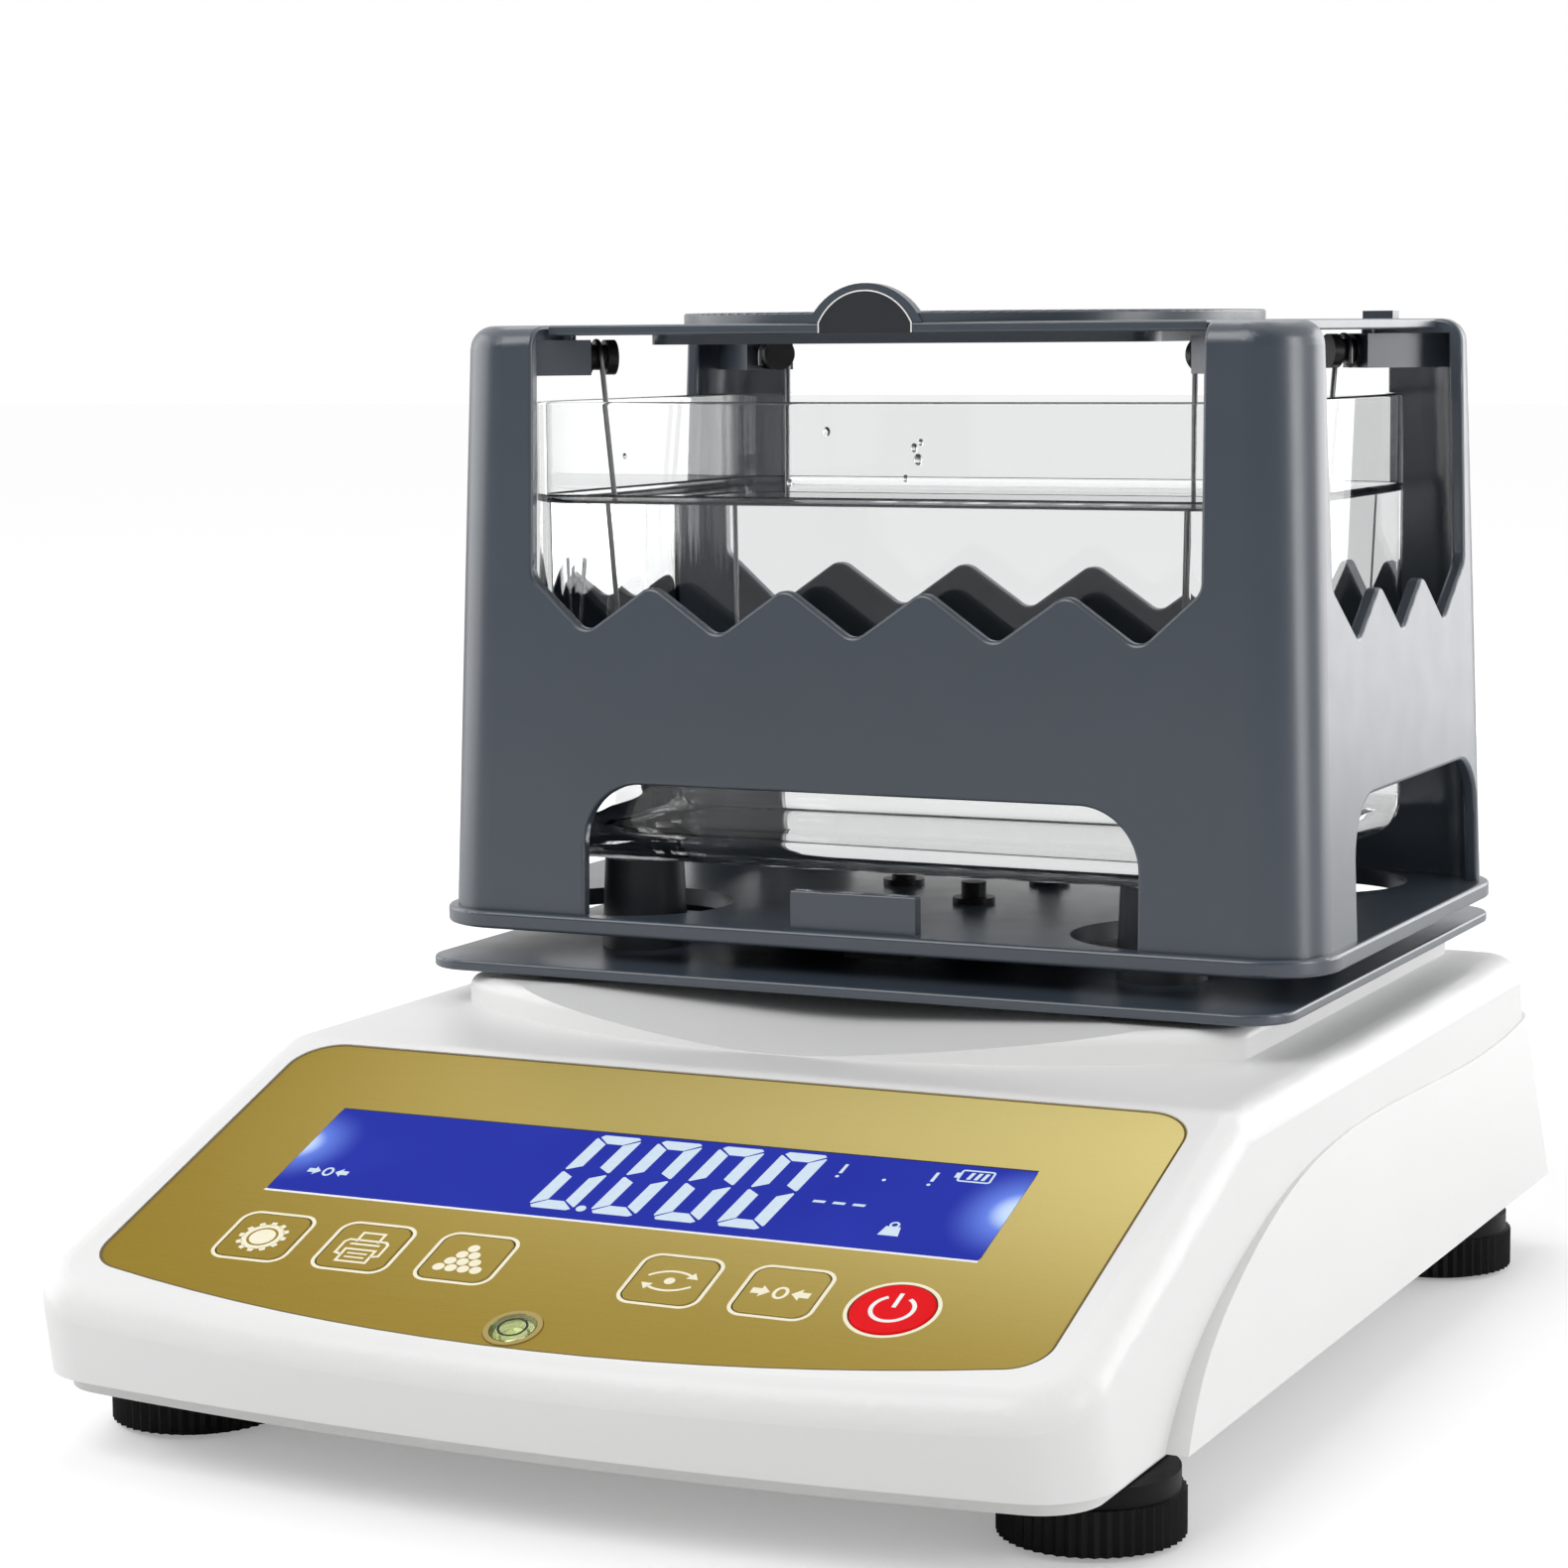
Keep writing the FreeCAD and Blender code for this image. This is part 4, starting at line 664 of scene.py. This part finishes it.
# The line is a painted shadow along the sheet's sunk edge.
mark("panel_edge_painted_shadow", ribbon(border, border_line, closed=True), sheet_top_n, ink, "bronze_painted_shadow", "case")
print("border points:", len(border))

# %% [markdown]
# ## Key pictures
# Each square key has a cream frame round it and a simple picture: a gear for settings, a printer, a pile of
# balls for entering a count, two chasing arrows for the mode, and two arrows towards a nought for zero. They are
# everyday signs, drawn here from arcs and lines. The frames are printed on the sheet round each key, and the
# pictures ride on the keys, so they go down with them.

# %% Frames round the keys
key_v, key_pitch, key_mid_u, key_first_u = -68.9, 20.8, -0.8, 19.9
key_us = {"key_set": key_mid_u - key_first_u - 2 * key_pitch, "key_print": key_mid_u - key_first_u - key_pitch,
          "key_enter": key_mid_u - key_first_u, "key_mode": key_mid_u + key_first_u,
          "key_zero": key_mid_u + key_first_u + key_pitch}
power_u, power_v, power_r = 60.7, -70.3, 7.35
frame_half, frame_r, frame_line, power_gap = 7.5, 3.0, 0.7, 0.6
frames = []
for u in key_us.values():
    frames += ribbon(rounded_box(u, key_v, frame_half, frame_half, frame_r), frame_line, closed=True)
frames += ribbon(arc(power_u, power_v, power_r + power_gap, 0, 360, 64)[:-1], frame_line, closed=True)
mark("key_frames", frames, sheet_top_n, ink, "print_cream", "case")


# %% The pictures


def gear(u, v):
    teeth = 12
    shapes = ribbon(arc(u, v, 3.45, 0, 360, 48)[:-1], 1.0, closed=True) + disc(u, v, 2.45)
    for k in range(teeth):
        turn = 2 * math.pi * k / teeth
        out = [(r * math.cos(turn + a) + u, r * math.sin(turn + a) + v)
               for r, a in ((3.8, -0.17), (4.8, -0.10), (4.8, 0.10), (3.8, 0.17))]
        shapes.append(out)
    return shapes


def printer(u, v):
    line = 0.55
    return (ribbon([(u - 2.2, v + 1.7), (u - 2.2, v + 4.6), (u + 2.2, v + 4.6), (u + 2.2, v + 1.7)], line)
            + ribbon([(u - 3.0, v - 2.6), (u - 4.4, v - 2.2), (u - 4.4, v + 1.4), (u - 3.7, v + 2.2),
                      (u + 3.7, v + 2.2), (u + 4.4, v + 1.4), (u + 4.4, v - 2.2), (u + 3.0, v - 2.6)], line)
            + ribbon([(u - 3.0, v + 0.9), (u + 3.0, v + 0.9)], line)
            + ribbon([(u - 3.0, v - 0.7), (u + 3.0, v - 0.7), (u + 3.0, v - 4.6), (u - 3.0, v - 4.6)], line,
                     closed=True)
            + ribbon([(u - 2.0, v - 2.0), (u + 2.0, v - 2.0)], line * 0.8)
            + ribbon([(u - 2.0, v - 3.2), (u + 2.0, v - 3.2)], line * 0.8))


def pile(u, v):
    shapes = []
    for row in range(4):
        for k in range(row + 1):
            shapes += disc(u + (k - row / 2) * 2.45, v + 3.3 - row * 2.15, 1.12, 20)
    return shapes


def arrow_head(u, v, turn, size):
    turn = math.radians(turn)
    points = ((size, 0), (-size * 0.6, size * 0.85), (-size * 0.6, -size * 0.85))
    return [[(u + a * math.cos(turn) - b * math.sin(turn), v + a * math.sin(turn) + b * math.cos(turn))
             for a, b in points]]


def chasing_arrows(u, v):
    upper = [(u + a, v + b) for a, b in arc(0, -3.6, 6.5, 134, 60, 16)]
    lower = [(2 * u - a, 2 * v - b) for a, b in upper]
    tip_u, tip_v = upper[-1]
    return (ribbon(upper, 0.55) + ribbon(lower, 0.55) + arrow_head(tip_u + 0.5, tip_v - 0.3, -30, 1.25)
            + arrow_head(2 * u - tip_u - 0.5, 2 * v - tip_v + 0.3, 150, 1.25) + disc(u, v, 1.0, 20))


def zero_arrows(u, v, scale=1.0):
    ring = [(u + a * 0.72 * scale, v + b * scale) for a, b in arc(0, 0, 1.55, 0, 360, 28)[:-1]]
    shapes = ribbon(ring, 0.62 * scale, closed=True)
    for side in (-1, 1):
        shaft = [(u + side * a * scale, v + b * scale) for a, b in ((5.4, -0.8), (5.4, 0.8), (3.7, 0.8), (3.7, -0.8))]
        head = [(u + side * a * scale, v + b * scale) for a, b in ((3.7, -1.7), (3.7, 1.7), (2.0, 0.0))]
        shapes += [shaft, head]
    return shapes


picture_drop = 0.4     # how far each picture sits under its key's middle
power_ring_r, power_line, power_stroke = 3.7, 0.75, (4.6, 0.4)
pictures = {"key_set": gear, "key_print": printer, "key_enter": pile, "key_mode": chasing_arrows,
            "key_zero": zero_arrows}
for key, u in key_us.items():
    mark("picture_" + key, pictures[key](u, key_v - picture_drop), 0.0, ink, "print_cream", key)
power_sign = (ribbon(arc(power_u, power_v, power_ring_r, 122, 418, 48), power_line)
              + ribbon([(power_u, power_v + rise) for rise in power_stroke], power_line))
mark("picture_key_power", power_sign, 0.0, ink, "white_print_and_painted_highlight", "key_power")
print("key pictures:", len(pictures) + 1)

# %% [markdown]
# ## Digits and small signs on the display
# The display shows 0.000 in slanted seven-part digits. Each part is a bar with its ends cut at 45 degrees, and a
# hair of blue shows between the parts. A helper gives the six outer bars of a nought. The small signs are a
# zero-point sign at the left, a battery at the right, and a little weight where the unit stands.

# %% Film with the picture
window_u, window_v, window_half_w, window_half_h = -0.7, -39.2, 70.2, 14.5
window_n, film = -0.2, 0.04
mark("display_film", [rounded_box(window_u, window_v, window_half_w, window_half_h, 0.6)], window_n, film,
     "display_blue", "case")
# A thin black line along the film's top edge is a painted shadow cast by the upper wall of the window's recess.
window_top_v, painted_shadow_width = window_v + window_half_h, 0.3
mark("display_painted_shadow", ribbon([(lcd_left, window_top_v), (lcd_right, window_top_v)], painted_shadow_width), window_n,
     film + ink, "black_print_and_painted_shadow", "case")
print("display film", 2 * window_half_w, "by", 2 * window_half_h, "mm")

# %% Digits
picture_n = window_n + film
digit_w, digit_h, bar = 9.0, 25.3, 2.75
digit_slant = 0.10
digit_low_v = -51.1
digit_first_u, digit_pitch = -18.2, 12.35
digit_count = 4
point_u, point_v, point_r = -7.6, -50.1, 0.95
hair = 0.16


def slanted(u, v, base_u):
    return (base_u + u + (v - digit_low_v) * digit_slant, v)


def nought(base_u):
    """Six bars round a slanted box; the middle bar stays dark. The small numbers cut the bars' ends."""
    w, h, t, low = digit_w, digit_h, bar, digit_low_v
    mid = low + h / 2
    c = 0.9
    top = [(c + hair, low + h), (w - c - hair, low + h), (w - hair - 0.25, low + h - 0.55), (w - t - hair, low + h - t),
           (t + hair, low + h - t), (0.35 + hair, low + h - 0.75)]
    bottom = [(u, 2 * mid - v) for u, v in reversed(top)]
    left_up = [(0, low + h - 1.4), (0.22, low + h - 1.0 - hair), (t, low + h - t - 1.6 * hair), (t, mid + 1.9),
               (0.3, mid + 0.35), (0, mid + 0.6)]
    right_up = [(w - u, v) for u, v in reversed(left_up)]
    left_low = [(u, 2 * mid - v) for u, v in reversed(left_up)]
    right_low = [(w - u, v) for u, v in reversed(left_low)]
    return [[slanted(u, v, base_u) for u, v in shape]
            for shape in (top, bottom, left_up, right_up, left_low, right_low)]


digits = []
for k in range(digit_count):
    digits += nought(digit_first_u + k * digit_pitch)
digits += disc(point_u, point_v, point_r)
mark("display_digits", digits, picture_n, ink, "digit_light", "case")

# %% Small signs


def battery_sign(u, v):
    return (ribbon(rounded_box(u, v, 3.0, 1.75, 0.5), 0.4, closed=True)
            + [[(u - 3.9, v - 0.8), (u - 3.2, v - 0.8), (u - 3.2, v + 0.8), (u - 3.9, v + 0.8)]]
            + [[(u + a - 0.35, v - 1.1), (u + a + 0.35, v - 1.1), (u + a + 0.75, v + 1.1), (u + a + 0.05, v + 1.1)]
               for a in (-1.2, 0.2, 1.5)])


def weight_sign(u, v):
    return ([[(u - 1.9, v - 1.9), (u + 1.9, v - 1.9), (u + 1.35, v + 0.9), (u - 1.35, v + 0.9)]]
            + ribbon(arc(u, v + 1.5, 0.75, 0, 360, 20)[:-1], 0.4, closed=True))


zero_sign_at, zero_sign_scale = (-61.9, -46.4), 0.78
battery_at, weight_at = (59.2, -28.2), (50.9, -47.0)
stroke_us, stroke_low_v, stroke_top_v, stroke_dot_v = (34.4, 51.8), -31.0, -28.0, -32.1
dot_at, dot_r, stroke_dot_r = (43.2, -31.9), 0.38, 0.36
dash_us, dash_top_v, dash_low_v = (33.4, 37.2, 41.0), -40.2, -40.9
small_signs = zero_arrows(*zero_sign_at, zero_sign_scale) + battery_sign(*battery_at) + weight_sign(*weight_at)
for u in stroke_us:
    small_signs += [[(u - 0.3, stroke_low_v), (u + 0.35, stroke_low_v), (u + 0.5, stroke_top_v),
                     (u - 0.1, stroke_top_v)]]
    small_signs += disc(u - 0.1, stroke_dot_v, stroke_dot_r, 12)
small_signs += disc(*dot_at, dot_r, 12)
for u in dash_us:
    small_signs += [[(u, dash_top_v), (u + 2.3, dash_top_v), (u + 2.2, dash_low_v), (u - 0.1, dash_low_v)]]
mark("display_signs", small_signs, picture_n, ink, "digit_light", "case")
# The thin white strip under the film's lower edge is a painted highlight: the window's edge catching the light.
highlight_width = 0.6
highlight_v = window_v - window_half_h - highlight_width / 2
mark("window_low_painted_highlight", ribbon([(lcd_left - 0.2, highlight_v), (lcd_right, highlight_v)], highlight_width), window_n, film,
     "white_print_and_painted_highlight", "case")
print("display: 4 digits,", len(small_signs), "sign shapes")

# %% [markdown]
# ## Bubble level
# The cup holds yellow-green liquid with a small bubble, and a black ring on the lens shows where the bubble
# should float. The liquid is a plain filled disc just under the lens, and the bubble a flat glossy dome.

# %% Level


def dome(cu, cv, n, radius, height, rings=6, around=28):
    """A low dome on the slope."""
    made = bmesh.new()
    rows = []
    for k in range(rings):
        share = math.pi / 2 * k / rings
        r, rise = radius * math.cos(share), height * math.sin(share)
        rows.append([made.verts.new(on_slope(cu + r * math.cos(2 * math.pi * j / around),
                                             cv + r * math.sin(2 * math.pi * j / around), n + rise))
                     for j in range(around)])
    top = made.verts.new(on_slope(cu, cv, n + height))
    for low, high in zip(rows, rows[1:]):
        for j in range(around):
            made.faces.new((low[j], low[(j + 1) % around], high[(j + 1) % around], high[j]))
    for j in range(around):
        made.faces.new((rows[-1][j], rows[-1][(j + 1) % around], top))
    made.faces.new(list(reversed(rows[0])))
    return made


def liquid_paint(start):
    place = place_of(start)
    return {"Base Color": clouds(place, 3, 2).mix((0.23, 0.29, 0.03), (0.32, 0.38, 0.05)),
            "Normal": bump(clouds(place, 5, 1), 0.002)}


finish("level_liquid", {"Roughness": 0.2, "Coat Weight": 0.6, "Coat Roughness": 0.05}, liquid_paint)
finish("bubble_light", {"Roughness": 0.12, "Coat Weight": 1.0, "Coat Roughness": 0.03},
       lambda start: {"Base Color": clouds(place_of(start), 1.5, 2).mix((0.34, 0.40, 0.08), (0.44, 0.50, 0.12))})
liquid_r, liquid_n, liquid_h = 3.6, -1.5, 0.35
bubble_du, bubble_dv, bubble_n, bubble_r, bubble_h = 0.25, 0.1, -1.14, 1.5, 0.2
ring_r, ring_line, ring_n = 2.5, 0.46, 0.1
mark("level_liquid_fill", disc(level_u, level_v, liquid_r, 40), liquid_n, liquid_h, "level_liquid", "case")
add_piece("level_bubble", dome(level_u + bubble_du, level_v + bubble_dv, bubble_n, bubble_r, bubble_h),
          "bubble_light", "case", smooth=True)
mark("level_ring", ribbon(arc(level_u, level_v, ring_r, 0, 360, 48)[:-1], ring_line, closed=True), ring_n, ink,
     "black_print_and_painted_shadow", "case")
print("level at", [round(c, 4) for c in on_slope(level_u, level_v, 0)])

# %% [markdown]
# ## Painted shade and highlight in the pan's grip
# The half-round grip at the front of the pan has a shallow recess. A dark piece fills it as painted shade, and a white
# line round its arc is a painted highlight on the recess's edge. The dark piece runs down over the front edge of the
# plate.
# Both ride on the pan.

# %% Painted shade and highlight in the grip
pan_front_y, pan_top_z, pan_low_z = 9.8, 201.3, 199.25
painted_shade_half_w, painted_shade_h = 9.95, 6.25
painted_shade_r = (painted_shade_half_w ** 2 + painted_shade_h ** 2) / (2 * painted_shade_h)
painted_shade_tilt = math.degrees(math.asin((painted_shade_r - painted_shade_h) / painted_shade_r))
painted_shade_depth, painted_shade_thickness = 1.1, 1.18
grip_painted_highlight, highlight_rise = 0.28, 0.1
toward_front = Vector((0, -1, 0))


def on_pan_front(u, v, n):
    return Vector((u, pan_front_y - n, v)) * mm


# The dark piece is painted shade in the grip's recess, and the white line along its arc is a painted highlight on the
# recess's edge.
painted_shade_arc = arc(0, pan_top_z + painted_shade_h - painted_shade_r, painted_shade_r, painted_shade_tilt, 180 - painted_shade_tilt, 32)
mark("grip_painted_shade", [painted_shade_arc + [(-painted_shade_half_w, pan_low_z), (painted_shade_half_w, pan_low_z)]], -painted_shade_depth,
     painted_shade_thickness, "post_dark", "pan", on_pan_front, toward_front)
highlight_path = [(painted_shade_half_w, pan_low_z + highlight_rise)] + painted_shade_arc + [(-painted_shade_half_w, pan_low_z + highlight_rise)]
mark("grip_painted_highlight", ribbon(highlight_path, grip_painted_highlight), painted_shade_thickness - painted_shade_depth, ink, "white_print_and_painted_highlight", "pan",
     on_pan_front, toward_front)
print("grip inlay:", round(2 * painted_shade_half_w, 1), "mm wide")

# %% [markdown]
# ## Water
# The tank holds water up to about 165 mm over the table. Its body is stacked from rounded rectangles that follow
# the tank's inside, a hair larger, so that no film of air is left between water and wall. At the top the water
# climbs the wall by about two millimetres, the meniscus, which draws the dark and bright lines at the waterline.

# %% Water body
tank_y = 65.8
overlap = 0.05      # how far the water reaches into the wall
water_half_w, water_half_d, water_corner = 77.3 + overlap, 52.8 + overlap, 10.8 + overlap
water_low_z, water_foot_r = 94.5 - overlap, 5.8
water_level_z, meniscus = 165.0, 1.9
meniscus_start, meniscus_reach = 0.1, 3.2
least_corner = 1.0
hold = 0.25      # how close an extra loop lies to a bend, so that the flat sides shade flat


def water_ring(made, z, inset):
    """One rounded rectangle of vertices; the inset draws it in from the wall.

    Each corner has a point close before and after it on the straight sides, which keeps their shading flat.
    """
    radius = max(water_corner - inset, least_corner)
    half_w, half_d = water_half_w - inset, water_half_d - inset
    ring = []
    for sx, sy, turn in ((1, 1, 0), (-1, 1, 90), (-1, -1, 180), (1, -1, 270)):
        bend = arc(sx * (half_w - radius), sy * (half_d - radius), radius, turn, turn + 90, 16)
        rad = math.radians(turn)
        back = (-math.sin(rad) * hold, math.cos(rad) * hold)
        ahead = (-math.cos(rad) * hold, -math.sin(rad) * hold)
        bend = [(bend[0][0] - back[0], bend[0][1] - back[1])] + bend + [(bend[-1][0] + ahead[0],
                                                                       bend[-1][1] + ahead[1])]
        ring += [made.verts.new((u * mm, (tank_y + v) * mm, z * mm)) for u, v in bend]
    return ring


def water_body():
    made = bmesh.new()
    rows = [(water_low_z, water_foot_r + hold)]
    for k in range(11):
        turn = math.pi / 2 * k / 10
        rows.append((water_low_z + water_foot_r * (1 - math.cos(turn)), water_foot_r * (1 - math.sin(turn))))
    rows.append((rows[-1][0] + hold, 0.0))
    rows += [(water_level_z + meniscus - 2 * hold, 0.0), (water_level_z + meniscus - hold, 0.0)]
    for k in range(9):
        share = k / 8
        rows.append((water_level_z + meniscus * (1 - share) ** 3, meniscus_start + meniscus_reach * share ** 1.6))
    rows.append((water_level_z, rows[-1][1] + hold))
    rings = [water_ring(made, z, inset) for z, inset in rows]
    for low, high in zip(rings, rings[1:]):
        for j in range(len(low)):
            i = (j + 1) % len(low)
            made.faces.new((low[j], low[i], high[i], high[j]))
    made.faces.new(list(reversed(rings[0])))
    made.faces.new(rings[-1])
    return made


add_piece("water", water_body(), "water_clear", "tank", smooth=True)
print("water from", water_low_z, "to", water_level_z, "mm")

# %% [markdown]
# ## Drops on the tank's wall
# A few drops hang on the inside of the tank over the waterline, left when it was filled. Each is a small dome on
# the wall, pulled down a little by its weight. The random numbers start from a fixed seed, so every run is alike.

# %% Drops
drop_seed = 7
drop_count = 8
drop_x, drop_z, drop_r = (-66, 66), (169, 183), (0.35, 0.95)
drop_rise, drop_sag, drop_stretch, drop_root = 0.55, 0.3, 1.25, 0.06
drop_rings, drop_sides = 5, 16


def drops_mesh():
    made = bmesh.new()
    dice = random.Random(drop_seed)
    for _ in range(drop_count):
        wall = dice.choice((-1, 1))
        x, z = dice.uniform(*drop_x), dice.uniform(*drop_z)
        r = dice.uniform(*drop_r)
        y = tank_y + wall * (water_half_d - overlap)
        rows = []
        for k in range(drop_rings):
            share = math.pi / 2 * k / drop_rings
            wide, rise = r * math.cos(share), r * math.sin(share)
            rows.append([made.verts.new(((x + wide * math.cos(t)) * mm,
                                         (y - wall * (drop_rise * rise - drop_root)) * mm,
                                         (z + wide * math.sin(t) * drop_stretch - drop_sag * rise) * mm))
                         for t in (2 * math.pi * j / drop_sides for j in range(drop_sides))])
        top = made.verts.new((x * mm, (y - wall * drop_rise * r) * mm, (z - drop_sag * r) * mm))
        for low, high in zip(rows, rows[1:]):
            for j in range(drop_sides):
                i = (j + 1) % drop_sides
                made.faces.new((low[j], low[i], high[i], high[j]))
        for j in range(drop_sides):
            made.faces.new((rows[-1][j], rows[-1][(j + 1) % drop_sides], top))
        made.faces.new(list(reversed(rows[0])))
    bmesh.ops.recalc_face_normals(made, faces=made.faces)
    return made


add_piece("tank_drops", drops_mesh(), "water_clear", "tank", smooth=True)
print("drops:", drop_count)
